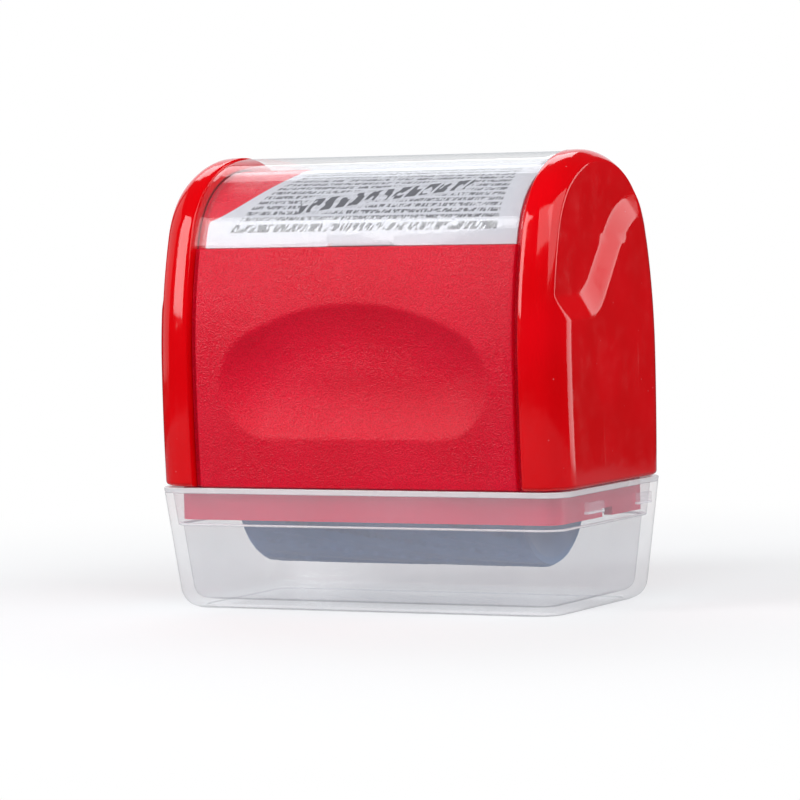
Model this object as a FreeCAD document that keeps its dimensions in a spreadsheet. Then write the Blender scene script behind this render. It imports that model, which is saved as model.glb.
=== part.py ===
import FreeCAD, Part
import math
import os
import re

import Sketcher

# Self-inking roller stamp standing in its dust cap.
# Frame: X runs along the rollers, -Y is the front, +Z is up. The origin is the centre of the
# dust cap's underside. Millimetres.

DOC = FreeCAD.newDocument("RollerStamp")
V = FreeCAD.Vector

# ------------------------------------------------------------------ driving dimensions

SIZES = {
    # whole stamp
    "width": 75.0,
    "height": 75.0,
    "half_depth": 21.6,
    "seam": 0.1,
    "overcut": 1.0,
    # arched outline of the housing, seen from the end
    "body_base": 20.5,
    "crown_radius": 22.0,
    "crown_angle": 32.0,
    "shoulder_radius": 16.0,
    "side_radius": 76.0,
    "lower_radius": 300.0,
    # housing skins: how far each lies inside the arched outline
    "panel_sink": 0.7,
    "groove_sink": 1.7,
    "deck_sink": 2.3,
    "shell_inner_sink": 3.8,
    "groove_width": 1.1,
    "window_edge": 60.0,
    # finger grips
    "grip_half": 24.5,
    "grip_low": 28.7,
    "grip_high": 50.7,
    "grip_corner": 9.0,
    "grip_floor": 19.4,
    # end covers
    "cover_width": 7.2,
    "cover_wall": 2.0,
    "cover_flange": 1.5,
    "cover_flange_sink": 4.9,
    "cover_round": 5.4,
    "dish_depth": 1.5,
    "dish_low": 47.5,
    "dish_bend": -5.5,
    "dish_knee": 7.0,
    "dish_knee_up": 62.0,
    "dish_high": 68.0,
    "dish_margin": 9.0,
    "dish_taper": 70.0,
    "boss_size": 5.2,
    "boss_height": 8.0,
    # window and label
    "window_sink": 0.45,
    "window_wall": 1.2,
    "notch_left": 5.0,
    "notch_right": 7.0,
    "notch_rise": 0.6,
    "label_sink": 1.95,
    "label_wall": 0.3,
    "label_half": 28.6,
    "label_edge": 61.0,
    "thumb_place": 30.9,
    "thumb_radius": 15.9,
    # roller frame
    "skirt_half_x": 34.9,
    "skirt_half_y": 17.9,
    "skirt_base": 14.8,
    "skirt_wall": 1.5,
    "skirt_round": 3.0,
    "neck_half_x": 34.0,
    "neck_half_y": 15.6,
    "neck_top": 28.0,
    "neck_wall": 0.9,
    "shelf_wall": 2.4,
    "cheek_inner": 27.6,
    "cheek_wall": 2.0,
    "cheek_half_y": 9.0,
    "cheek_base": 15.2,
    "cheek_top": 58.0,
    "tab_notch_low": 0.0,
    "tab_notch_high": 4.0,
    "tab_notch_rise": 1.4,
    # print roller
    "roller_axis": 20.4,
    "roller_radius": 14.0,
    "sleeve_half": 26.0,
    "sleeve_wall": 1.2,
    "relief_rise": 0.4,
    "relief_rows": 16,
    "relief_fill": 0.55,
    "drum_radius": 12.4,
    "drum_wall": 1.4,
    "hub_radius": 4.0,
    "web_wall": 1.6,
    "flange_wall": 1.2,
    "axle_radius": 2.0,
    "axle_half": 31.2,
    "washer_wall": 0.7,
    "washer_gap": 0.2,
    "washer_radius": 4.5,
    "clip_wall": 0.6,
    "clip_start": 30.2,
    "clip_radius": 4.2,
    "clip_mouth": 3.0,
    # bushings
    "running_gap": 0.05,
    "bushing_radius": 4.0,
    "bushing_flange_radius": 5.2,
    "bushing_flange": 0.5,
    # ink roller and its sprung carriage
    "ink_radius": 7.5,
    "ink_half": 25.0,
    "ink_core_radius": 3.5,
    "ink_journal_half": 29.2,
    "ink_gap": 0.2,
    "ink_lift": 1.5,
    "slot_gap": 0.1,
    "arm_inner": 25.4,
    "arm_wall": 1.8,
    "arm_half_y": 4.0,
    "arm_drop": 3.4,
    "yoke_base": 50.6,
    "yoke_wall": 1.8,
    "pin_radius": 1.8,
    "pin_height": 1.2,
    "spring_place": 18.0,
    "spring_radius": 2.6,
    "spring_wire": 0.3,
    "spring_turns": 4,
    # spring bridge and screws
    "bridge_half_y": 5.0,
    "bridge_wall": 2.0,
    "bridge_screw_radius": 0.7,
    "bridge_screw_length": 5.0,
    "bridge_head_radius": 1.5,
    "screw_place_x": 31.35,
    "screw_place_y": 11.0,
    "screw_radius": 1.1,
    "screw_length": 9.0,
    "screw_head_radius": 1.7,
    "screw_head": 1.4,
    # dust cap
    "cap_top": 20.3,
    "cap_top_x": 37.3,
    "cap_base_x": 35.3,
    "cap_base_y": 18.3,
    "cap_round": 1.4,
    "cap_end_round": 3.0,
    "cap_floor": 1.3,
    "cap_ledge": 14.0,
    "cap_rim_wall": 1.2,
    "cap_wall": 1.9,
    "rib_rise": 0.3,
    "front_rib_low": -8.6,
    "front_rib_high": -2.4,
    "back_rib_low": 11.8,
    "back_rib_high": 16.8,
    "rib_low": 15.9,
    "rib_high": 17.8,
}

sheet = DOC.addObject("Spreadsheet::Sheet", "sizes")
for row, (alias, value) in enumerate(SIZES.items(), start=1):
    sheet.set(f"A{row}", alias)
    sheet.set(f"B{row}", str(value))
    sheet.setAlias(f"B{row}", alias)
DOC.recompute()


def full(formula):
    """A formula in alias names, written the way an expression outside the sheet needs it."""
    return re.sub(r"[a-z_]+", lambda word: f"sizes.{word[0]}" if word[0] in SIZES else word[0], formula)


def value_of(formula):
    """What a formula comes to now."""
    result = sheet.evalExpression(full(formula))
    return float(getattr(result, "Value", result))


def bind(thing, prop, formula):
    """Tie a property to the sheet."""
    thing.setExpression(prop, full(formula))


# ------------------------------------------------------------------ sketch helpers


def new_body(label):
    body = DOC.addObject("PartDesign::Body", "Body_" + label)
    body.Label = label
    return body


def new_sketch(body, role, offset="0"):
    """A sketch on one of the body's origin planes, moved along the plane's normal."""
    sketch = body.newObject("Sketcher::SketchObject", "sketch")
    base = next(item for item in body.Origin.OriginFeatures if item.Role == role)
    sketch.AttachmentSupport = [(base, "")]
    sketch.MapMode = "FlatFace"
    bind(sketch, "AttachmentOffset.Base.z", offset)
    return sketch


def drive(sketch, kind, places, formula):
    """A dimension constraint driven by a formula."""
    index = sketch.addConstraint(Sketcher.Constraint(kind, *places, value_of(formula)))
    bind(sketch, f"Constraints[{index}]", formula)


def add_circle(sketch, across, up, radius):
    """A circle whose centre and radius are formulas."""
    centre = V(value_of(across), value_of(up), 0)
    circle = sketch.addGeometry(Part.Circle(centre, V(0, 0, 1), value_of(radius)))
    drive(sketch, "DistanceX", (-1, 1, circle, 3), across)
    drive(sketch, "DistanceY", (-1, 1, circle, 3), up)
    drive(sketch, "Radius", (circle,), radius)


def add_polygon(sketch, corners):
    """A closed outline of straight sides; every corner is a pair of formulas."""
    points = [V(value_of(across), value_of(up), 0) for across, up in corners]
    sides = []
    for start, end in zip(points, points[1:] + points[:1]):
        sides.append(sketch.addGeometry(Part.LineSegment(start, end)))
    for side, following in zip(sides, sides[1:] + sides[:1]):
        sketch.addConstraint(Sketcher.Constraint("Coincident", side, 2, following, 1))
    for side, (across, up) in zip(sides, corners):
        drive(sketch, "DistanceX", (-1, 1, side, 1), across)
        drive(sketch, "DistanceY", (-1, 1, side, 1), up)


def add_box_outline(sketch, left, right, low, high):
    add_polygon(sketch, [(left, low), (right, low), (right, high), (left, high)])


def arc_between(centre, radius, start, end):
    """A circular arc given by its centre, radius and two angles in degrees."""
    circle = Part.Circle(centre, V(0, 0, 1), radius)
    return Part.ArcOfCircle(circle, math.radians(start), math.radians(end))


def join_tangent(sketch, arcs):
    """Join arcs that follow each other anticlockwise, end to start, without a corner."""
    for arc, following in zip(arcs, arcs[1:]):
        sketch.addConstraint(Sketcher.Constraint("Tangent", arc, 2, following, 1))


def add_rounded_rectangle(sketch, half_x, half_y, corner):
    """A rectangle about the sketch's origin with round corners; the sizes are formulas."""
    wide, deep, radius = value_of(half_x), value_of(half_y), value_of(corner)
    flat_x, flat_y = wide - radius, deep - radius
    centres = [V(flat_x, flat_y, 0), V(-flat_x, flat_y, 0), V(-flat_x, -flat_y, 0), V(flat_x, -flat_y, 0)]
    starts = [V(flat_x, deep, 0), V(-wide, flat_y, 0), V(-flat_x, -deep, 0), V(wide, -flat_y, 0)]
    ends = [V(-flat_x, deep, 0), V(-wide, -flat_y, 0), V(flat_x, -deep, 0), V(wide, flat_y, 0)]
    pieces = []
    for quarter in range(4):
        arc = arc_between(centres[quarter], radius, 90 * quarter, 90 * quarter + 90)
        pieces.append(sketch.addGeometry(arc))
        pieces.append(sketch.addGeometry(Part.LineSegment(starts[quarter], ends[quarter])))
    join_tangent(sketch, pieces + pieces[:1])
    top, left, bottom, right = pieces[1::2]
    for side in (top, bottom):
        sketch.addConstraint(Sketcher.Constraint("Horizontal", side))
    for side in (left, right):
        sketch.addConstraint(Sketcher.Constraint("Vertical", side))
    drive(sketch, "DistanceX", (-1, 1, right, 1), half_x)
    drive(sketch, "DistanceX", (left, 1, -1, 1), half_x)
    drive(sketch, "DistanceY", (-1, 1, top, 1), half_y)
    drive(sketch, "DistanceY", (bottom, 1, -1, 1), half_y)
    drive(sketch, "Radius", (pieces[0],), corner)
    for arc in pieces[2::2]:
        sketch.addConstraint(Sketcher.Constraint("Equal", pieces[0], arc))


SHOULDER_OUT = "(crown_radius - shoulder_radius) * sin(crown_angle)"
SHOULDER_UP = "height - crown_radius + (crown_radius - shoulder_radius) * cos(crown_angle)"
SIDE_TURN = f"acos(({SHOULDER_OUT} - half_depth + side_radius) / (side_radius - shoulder_radius))"
WIDEST = f"{SHOULDER_UP} - (side_radius - shoulder_radius) * sin({SIDE_TURN})"


def add_arch(sketch, sink, base):
    """
    The housing's end outline, moved inwards by sink, closed by a straight base.

    Sketch axes are Y across and Z up. From each foot a nearly straight flank rises to the widest
    line, a long side arc leans in, a shoulder arc turns over, and one crown arc spans the top.
    """
    inset = value_of(sink)
    flank = value_of("lower_radius") - inset
    side = value_of("side_radius") - inset
    shoulder = value_of("shoulder_radius") - inset
    crown = value_of("crown_radius") - inset
    crown_turn = value_of("90 - crown_angle")
    crown_up = value_of("height - crown_radius")
    shoulder_out = value_of(SHOULDER_OUT)
    shoulder_up = value_of(SHOULDER_UP)
    side_turn = value_of(SIDE_TURN)
    widest = value_of(WIDEST)
    foot_turn = math.degrees(math.asin((widest - value_of(base)) / flank))
    side_out = value_of("half_depth - side_radius")
    flank_out = value_of("half_depth - lower_radius")
    arcs = [
        arc_between(V(flank_out, widest, 0), flank, -foot_turn, 0),
        arc_between(V(side_out, widest, 0), side, 0, side_turn),
        arc_between(V(shoulder_out, shoulder_up, 0), shoulder, side_turn, crown_turn),
        arc_between(V(0, crown_up, 0), crown, crown_turn, 180 - crown_turn),
        arc_between(V(-shoulder_out, shoulder_up, 0), shoulder, 180 - crown_turn, 180 - side_turn),
        arc_between(V(-side_out, widest, 0), side, 180 - side_turn, 180),
        arc_between(V(-flank_out, widest, 0), flank, 180, 180 + foot_turn),
    ]
    places = [sketch.addGeometry(arc) for arc in arcs]
    join_tangent(sketch, places)
    left_foot, right_foot = arcs[6].EndPoint, arcs[0].StartPoint
    floor = sketch.addGeometry(Part.LineSegment(left_foot, right_foot))
    sketch.addConstraint(Sketcher.Constraint("Coincident", places[6], 2, floor, 1))
    sketch.addConstraint(Sketcher.Constraint("Coincident", floor, 2, places[0], 1))
    drive(sketch, "DistanceY", (-1, 1, floor, 1), base)
    drive(sketch, "DistanceY", (-1, 1, floor, 2), base)
    drive(sketch, "DistanceY", (-1, 1, places[3], 3), "height - crown_radius")
    sketch.addConstraint(Sketcher.Constraint("PointOnObject", places[3], 3, -2))
    names = ["lower_radius", "side_radius", "shoulder_radius", "crown_radius"]
    for place, name in zip(places, names + names[2::-1]):
        drive(sketch, "Radius", (place,), f"{name} - ({sink})")
    drive(sketch, "DistanceX", (-1, 1, places[2], 3), SHOULDER_OUT)
    drive(sketch, "DistanceX", (places[4], 3, -1, 1), SHOULDER_OUT)
    drive(sketch, "DistanceX", (places[1], 3, -1, 1), "side_radius - half_depth")
    drive(sketch, "DistanceX", (-1, 1, places[5], 3), "side_radius - half_depth")
    for flank_place, side_place in ((0, 1), (6, 5)):
        centres = (places[flank_place], 3, places[side_place], 3)
        sketch.addConstraint(Sketcher.Constraint("Horizontal", *centres))


# ------------------------------------------------------------------ feature helpers


def extrude(body, kind, sketch, length, reverse=False, both_ways=False, taper=None):
    """A PartDesign pad or pocket of a sketch; a cut has to take something away."""
    before = body.Shape.Volume if body.Tip else 0.0
    feature = body.newObject("PartDesign::" + kind, f"{body.Label}_{kind}")
    feature.Profile = sketch
    feature.SideType = "Symmetric" if both_ways else "One side"
    feature.Reversed = reverse
    bind(feature, "Length", length)
    if taper is not None:
        bind(feature, "TaperAngle", taper)
    DOC.recompute()
    grown = body.Shape.Volume - before
    if (grown > 0) != (kind == "Pad"):
        raise RuntimeError(f"{feature.Name} in {body.Label} changes the volume by {grown:.2f}")
    return feature


def pad(body, sketch, length, **options):
    return extrude(body, "Pad", sketch, length, **options)


def pocket(body, sketch, length, **options):
    return extrude(body, "Pocket", sketch, length, **options)


def fillet(body, wanted, radius):
    """Round the edges of a body's tip that the wanted function picks."""
    base = body.Tip
    names = [f"Edge{i}" for i, edge in enumerate(base.Shape.Edges, start=1) if wanted(edge)]
    rounding = body.newObject("PartDesign::Fillet", f"{body.Label}_fillet")
    rounding.Base = (base, names)
    bind(rounding, "Radius", radius)
    DOC.recompute()
    return rounding


def mirror(body, features, role):
    """Repeat features on the other side of an origin plane of the body."""
    copy = body.newObject("PartDesign::Mirrored", f"{body.Label}_mirror")
    copy.Originals = features
    base = next(item for item in body.Origin.OriginFeatures if item.Role == role)
    copy.MirrorPlane = (base, [""])
    body.Tip = copy
    DOC.recompute()


def primitive(kind, label, place=(0, 0, 0), axis=(0, 0, 1), **formulas):
    """A Part primitive with its sizes driven by formulas and its own axis turned to the given one."""
    solid = DOC.addObject("Part::" + kind, label)
    for prop, formula in formulas.items():
        bind(solid, prop, formula)
    solid.Placement.Rotation = FreeCAD.Rotation(V(0, 0, 1), V(*axis))
    for letter, formula in zip("xyz", place):
        bind(solid, f"Placement.Base.{letter}", str(formula))
    return solid


def fuse(label, solids):
    joined = DOC.addObject("Part::MultiFuse", label)
    joined.Shapes = solids
    joined.Refine = True
    return joined


def cut(label, base, tool):
    """What is left of base outside tool."""
    result = DOC.addObject("Part::Cut", label)
    result.Base = base
    result.Tool = tool
    return result


def group(label, solids):
    """Identical loose pieces that share one node."""
    together = DOC.addObject("Part::Compound", label)
    together.Links = solids
    return together


def lengthwise(label, radius, start, length, up):
    """A cylinder along X, centred on the given height."""
    return primitive("Cylinder", label, (start, "0", up), (1, 0, 0), Radius=radius, Height=length)


def ring(label, outer, inner, start, length, up):
    """A tube along X."""
    solid = lengthwise(label + "_outer", outer, start, length, up)
    hole = lengthwise(label + "_hole", inner, start, length, up)
    return cut(label, solid, hole)


def upright(label, radius, height, place):
    return primitive("Cylinder", label, place, Radius=radius, Height=height)


# ------------------------------------------------------------------ formulas that pieces share

SHELL_HALF = "(width / 2 - cover_width - seam)"
COVER_START = "(width / 2 - cover_width)"
PANEL_HALF = f"({SHELL_HALF} - groove_width)"
DRUM_HALF = "(sleeve_half - flange_wall)"
CHEEK_OUTER = "(cheek_inner + cheek_wall)"
INK_AXIS = "(roller_axis + roller_radius + ink_radius + ink_gap)"
YOKE_TOP = "(yoke_base + yoke_wall)"
SHELF_BASE = "(neck_top - shelf_wall)"
BEYOND = "(height + overcut)"


# ------------------------------------------------------------------ housing


def add_grip_outline(sketch):
    """A finger grip: flat along the bottom, round at both ends and domed on top."""
    corner = value_of("grip_corner")
    out = value_of("grip_half - grip_corner")
    low = value_of("grip_low")
    up = low + corner
    rise = value_of("grip_high") - up
    dome = (out ** 2 + rise ** 2 - corner ** 2) / (2 * (rise - corner))
    lean = math.degrees(math.atan2(dome - rise, out))
    arcs = [
        arc_between(V(out, up, 0), corner, -90, lean),
        arc_between(V(0, up + rise - dome, 0), dome, lean, 180 - lean),
        arc_between(V(-out, up, 0), corner, 180 - lean, 270),
    ]
    places = [sketch.addGeometry(arc) for arc in arcs]
    base = sketch.addGeometry(Part.LineSegment(V(-out, low, 0), V(out, low, 0)))
    join_tangent(sketch, places + [base, places[0]])
    for place in (places[0], places[2]):
        drive(sketch, "Radius", (place,), "grip_corner")
    drive(sketch, "DistanceX", (-1, 1, places[0], 3), "grip_half - grip_corner")
    drive(sketch, "DistanceX", (places[2], 3, -1, 1), "grip_half - grip_corner")
    drive(sketch, "DistanceY", (-1, 1, base, 1), "grip_low")
    dome_formula = (
        "((grip_half - grip_corner)^2 + (grip_high - grip_low - grip_corner)^2 - grip_corner^2)"
        " / (2 * (grip_high - grip_low - 2 * grip_corner))"
    )
    drive(sketch, "Radius", (places[1],), dome_formula)


def make_housing_shell():
    """The middle of the housing: two textured walls, a groove beside each cover, and the label bed."""
    body = new_body("housing_shell")
    for sink, half in (("panel_sink", PANEL_HALF), ("groove_sink", SHELL_HALF)):
        outline = new_sketch(body, "YZ_Plane")
        add_arch(outline, sink, "body_base")
        pad(body, outline, f"2 * {half}", both_ways=True)
    above = new_sketch(body, "YZ_Plane")
    add_box_outline(above, "-half_depth", "half_depth", "window_edge - seam / 2", BEYOND)
    pocket(body, above, "width", both_ways=True)
    bed = new_sketch(body, "YZ_Plane")
    add_arch(bed, "deck_sink", "body_base")
    pad(body, bed, f"2 * {SHELL_HALF}", both_ways=True)
    inside = new_sketch(body, "YZ_Plane")
    add_arch(inside, "shell_inner_sink", "body_base - overcut")
    pocket(body, inside, "width", both_ways=True)
    grip = new_sketch(body, "XZ_Plane", "half_depth")
    add_grip_outline(grip)
    front_grip = pocket(body, grip, "half_depth - grip_floor")
    mirror(body, [front_grip], "XZ_Plane")
    return body


def make_end_cover(label, side):
    """A glossy arched end with rounded edges, an inner flange and a dished thumb rest."""
    body = new_body(label)
    inward = side < 0

    def outline_at(start, sink, base):
        sketch = new_sketch(body, "YZ_Plane", f"{side} * {start}")
        add_arch(sketch, sink, base)
        return sketch

    pad(body, outline_at(COVER_START, "0", "body_base"), "cover_width", reverse=inward)
    end = side * value_of("width / 2")
    fillet(body, lambda edge: on_end(edge, end), "cover_round")
    well = "cover_width - cover_wall"
    mouth = outline_at(COVER_START, "cover_flange_sink", "body_base - overcut")
    pocket(body, mouth, well, reverse=not inward)
    wide_start = f"({COVER_START} + cover_flange)"
    wide = "cover_width - cover_wall - cover_flange"
    pocket(body, outline_at(wide_start, "cover_wall", "body_base - overcut"), wide, reverse=not inward)
    dish = new_sketch(body, "YZ_Plane", f"{side} * width / 2")
    corners = [
        ("-half_depth - dish_margin", "dish_low"),
        ("dish_bend", "dish_low"),
        ("dish_knee", "dish_knee_up"),
        ("half_depth + dish_margin", "dish_high"),
        ("half_depth + dish_margin", BEYOND),
        ("-half_depth - dish_margin", BEYOND),
    ]
    add_polygon(dish, corners)
    pocket(body, dish, "dish_depth", reverse=inward, taper="-dish_taper")
    for place in ("screw_place_y", "-screw_place_y"):
        boss = new_sketch(body, "XY_Plane", "neck_top + seam")
        add_box_outline(
            boss,
            *sorted_formulas(side, f"{COVER_START}", "width / 2 - cover_wall + seam"),
            f"{place} - boss_size / 2",
            f"{place} + boss_size / 2",
        )
        pad(body, boss, "boss_height")
    holes = new_sketch(body, "XY_Plane", "neck_top")
    for place in ("screw_place_y", "-screw_place_y"):
        add_circle(holes, f"{side} * screw_place_x", place, "screw_radius")
    pocket(body, holes, "screw_length - shelf_wall + seam", reverse=True)
    return body


def on_end(edge, end):
    """Whether an edge lies in the end plane and isn't the straight bottom one."""
    box = edge.BoundBox
    flat = abs(box.XMin - end) < 1e-4 and abs(box.XMax - end) < 1e-4
    return flat and box.ZMax - box.ZMin > 1e-3


def sorted_formulas(side, near, far):
    """Two distances from the middle as left and right formulas on one side."""
    return (near, far) if side > 0 else (f"-({far})", f"-({near})")


def make_top_window():
    """The clear arched cover over the label, with a pry notch in its front edge."""
    body = new_body("top_window")
    outer = new_sketch(body, "YZ_Plane")
    add_arch(outer, "window_sink", "body_base")
    pad(body, outer, f"2 * {SHELL_HALF}", both_ways=True)
    inner = new_sketch(body, "YZ_Plane")
    add_arch(inner, "window_sink + window_wall", "body_base - overcut")
    pocket(body, inner, "width", both_ways=True)
    below = new_sketch(body, "YZ_Plane")
    add_box_outline(below, "-half_depth", "half_depth", "body_base - overcut", "window_edge + seam / 2")
    pocket(body, below, "width", both_ways=True)
    notch = new_sketch(body, "XZ_Plane", "half_depth")
    corners = [
        ("-notch_left", "window_edge"),
        ("notch_right", "window_edge"),
        ("notch_right - notch_rise", "window_edge + notch_rise"),
        ("-notch_left + notch_rise", "window_edge + notch_rise"),
    ]
    add_polygon(notch, corners)
    pocket(body, notch, "half_depth / 2")
    return body


def make_label_card():
    """The printed card under the window, with a round thumb notch at its left end."""
    body = new_body("label_card")
    outer = new_sketch(body, "YZ_Plane")
    add_arch(outer, "label_sink", "body_base")
    pad(body, outer, "2 * label_half", both_ways=True)
    inner = new_sketch(body, "YZ_Plane")
    add_arch(inner, "label_sink + label_wall", "body_base - overcut")
    pocket(body, inner, "width", both_ways=True)
    below = new_sketch(body, "YZ_Plane")
    add_box_outline(below, "-half_depth", "half_depth", "body_base - overcut", "label_edge")
    pocket(body, below, "width", both_ways=True)
    thumb = new_sketch(body, "XY_Plane", "label_edge")
    add_circle(thumb, "-thumb_place", "0", "thumb_radius")
    pocket(body, thumb, "height", reverse=True)
    return body


# ------------------------------------------------------------------ roller frame


def make_roller_frame():
    """The lower frame: skirt inside the dust cap, neck inside the housing, two bearing cheeks."""
    body = new_body("roller_frame")
    skirt = new_sketch(body, "XY_Plane", "skirt_base")
    add_rounded_rectangle(skirt, "skirt_half_x", "skirt_half_y", "skirt_round")
    pad(body, skirt, "body_base - seam - skirt_base")
    neck = new_sketch(body, "XY_Plane", "body_base - seam")
    add_box_outline(neck, "-neck_half_x", "neck_half_x", "-neck_half_y", "neck_half_y")
    pad(body, neck, "neck_top - body_base + seam")
    hollow = new_sketch(body, "XY_Plane", "skirt_base")
    add_rounded_rectangle(
        hollow, "skirt_half_x - skirt_wall", "skirt_half_y - skirt_wall", "skirt_round - skirt_wall"
    )
    pocket(body, hollow, "body_base - seam - skirt_base - skirt_wall", reverse=True)
    chamber = new_sketch(body, "XY_Plane", "skirt_base")
    add_box_outline(
        chamber,
        "-neck_half_x + neck_wall",
        "neck_half_x - neck_wall",
        "-neck_half_y + neck_wall",
        "neck_half_y - neck_wall",
    )
    pocket(body, chamber, f"{SHELF_BASE} - skirt_base", reverse=True)
    well = new_sketch(body, "XY_Plane", "skirt_base")
    add_box_outline(
        well,
        f"-{CHEEK_OUTER}",
        CHEEK_OUTER,
        "-neck_half_y + neck_wall",
        "neck_half_y - neck_wall",
    )
    pocket(body, well, BEYOND, reverse=True)
    for side in (1, -1):
        cheek = new_sketch(body, "YZ_Plane", f"{side} * cheek_inner")
        corners = [
            ("-neck_half_y + neck_wall / 2", "cheek_base"),
            ("neck_half_y - neck_wall / 2", "cheek_base"),
            ("neck_half_y - neck_wall / 2", "neck_top"),
            ("cheek_half_y", "neck_top + cheek_half_y"),
            ("cheek_half_y", "cheek_top"),
            ("-cheek_half_y", "cheek_top"),
            ("-cheek_half_y", "neck_top + cheek_half_y"),
            ("-neck_half_y + neck_wall / 2", "neck_top"),
        ]
        add_polygon(cheek, corners)
        pad(body, cheek, "cheek_wall", reverse=side < 0)
    bores = new_sketch(body, "YZ_Plane")
    add_circle(bores, "0", "roller_axis", "bushing_radius")
    pocket(body, bores, f"2 * ({CHEEK_OUTER} + neck_wall)", both_ways=True)
    slot = new_sketch(body, "YZ_Plane")
    half_slot = "(axle_radius + slot_gap)"
    slot_low, slot_high = f"{INK_AXIS} - {half_slot}", f"{INK_AXIS} + ink_lift + {half_slot}"
    add_box_outline(slot, f"-{half_slot}", half_slot, slot_low, slot_high)
    pocket(body, slot, "2 * neck_half_x", both_ways=True)
    clearance = new_sketch(body, "XY_Plane", "skirt_base")
    for side in (1, -1):
        for place in ("screw_place_y", "-screw_place_y"):
            add_circle(clearance, f"{side} * screw_place_x", place, "screw_radius + running_gap")
    pocket(body, clearance, BEYOND, reverse=True)
    tops = new_sketch(body, "XY_Plane", "cheek_top")
    for side in (1, -1):
        add_circle(tops, f"{side} * (cheek_inner + cheek_wall / 2)", "0", "bridge_screw_radius")
    pocket(body, tops, "bridge_screw_length - bridge_wall + seam")
    notches = new_sketch(body, "XY_Plane", "skirt_base")
    for side in (1, -1):
        left, right = sorted_formulas(side, "skirt_half_x - skirt_wall - overcut", "skirt_half_x + overcut")
        add_box_outline(notches, left, right, "tab_notch_low", "tab_notch_high")
    pocket(body, notches, "tab_notch_rise", reverse=True)
    return body


def make_bushing(label, side):
    """A flanged plain bearing for the axle, pressed into a cheek from inside."""
    sleeve_start = "cheek_inner" if side > 0 else f"-{CHEEK_OUTER}"
    barrel = lengthwise(label + "_barrel", "bushing_radius", sleeve_start, "cheek_wall", "roller_axis")
    lip_start = "cheek_inner - bushing_flange" if side > 0 else "-cheek_inner"
    lip = lengthwise(label + "_lip", "bushing_flange_radius", lip_start, "bushing_flange", "roller_axis")
    solid = fuse(label + "_solid", [barrel, lip])
    bore = lengthwise(label + "_bore", "axle_radius + running_gap", "-width / 2", "width", "roller_axis")
    return cut(label, solid, bore)


def make_spring_bridge():
    """The bar across the cheeks that the two springs push against."""
    body = new_body("spring_bridge")
    bar = new_sketch(body, "XY_Plane", "cheek_top")
    add_box_outline(bar, f"-{CHEEK_OUTER}", CHEEK_OUTER, "-bridge_half_y", "bridge_half_y")
    pad(body, bar, "bridge_wall")
    pins = new_sketch(body, "XY_Plane", "cheek_top")
    for side in (1, -1):
        add_circle(pins, f"{side} * spring_place", "0", "pin_radius")
    pad(body, pins, "pin_height", reverse=True)
    holes = new_sketch(body, "XY_Plane", "cheek_top")
    for side in (1, -1):
        place = f"{side} * (cheek_inner + cheek_wall / 2)"
        add_circle(holes, place, "0", "bridge_screw_radius + running_gap")
    pocket(body, holes, "bridge_wall", reverse=True)
    return body


def make_bridge_screws():
    screws = []
    for number, side in enumerate((1, -1), start=1):
        place = f"{side} * (cheek_inner + cheek_wall / 2)"
        low = "cheek_top + bridge_wall - bridge_screw_length"
        shank = upright(
            f"bridge_shank_{number}", "bridge_screw_radius", "bridge_screw_length", (place, "0", low)
        )
        top = "cheek_top + bridge_wall"
        head = upright(f"bridge_head_{number}", "bridge_head_radius", "screw_head / 2", (place, "0", top))
        screws.append(fuse(f"bridge_screw_{number}", [shank, head]))
    return group("bridge_screws", screws)


def make_frame_screws():
    screws = []
    places = [(sx, sy) for sx in (1, -1) for sy in (1, -1)]
    for number, (sx, sy) in enumerate(places, start=1):
        across, deep = f"{sx} * screw_place_x", f"{sy} * screw_place_y"
        shank = upright(
            f"frame_shank_{number}", "screw_radius", "screw_length", (across, deep, SHELF_BASE)
        )
        head_base = f"{SHELF_BASE} - screw_head"
        head = upright(
            f"frame_head_{number}", "screw_head_radius", "screw_head", (across, deep, head_base)
        )
        screws.append(fuse(f"frame_screw_{number}", [shank, head]))
    return group("frame_screws", screws)


# ------------------------------------------------------------------ print roller


def make_roller_axle():
    return lengthwise("roller_axle", "axle_radius", "-axle_half", "2 * axle_half", "roller_axis")


def make_roller_core():
    """The plastic drum under the printing sleeve: rim, hub and a middle web."""
    rim = ring("core_rim", "drum_radius", "drum_radius - drum_wall", f"-{DRUM_HALF}", f"2 * {DRUM_HALF}",
               "roller_axis")
    hub = lengthwise("core_hub", "hub_radius", f"-{DRUM_HALF}", f"2 * {DRUM_HALF}", "roller_axis")
    web = lengthwise("core_web", "drum_radius - drum_wall / 2", "-web_wall / 2", "web_wall", "roller_axis")
    solid = fuse("core_solid", [rim, hub, web])
    bore = lengthwise("core_bore", "axle_radius", "-axle_half", "2 * axle_half", "roller_axis")
    return cut("roller_core", solid, bore)


def make_drum_flange(label, side):
    start = DRUM_HALF if side > 0 else f"-{DRUM_HALF} - flange_wall"
    return ring(label, "drum_radius", "axle_radius", start, "flange_wall", "roller_axis")


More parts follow.
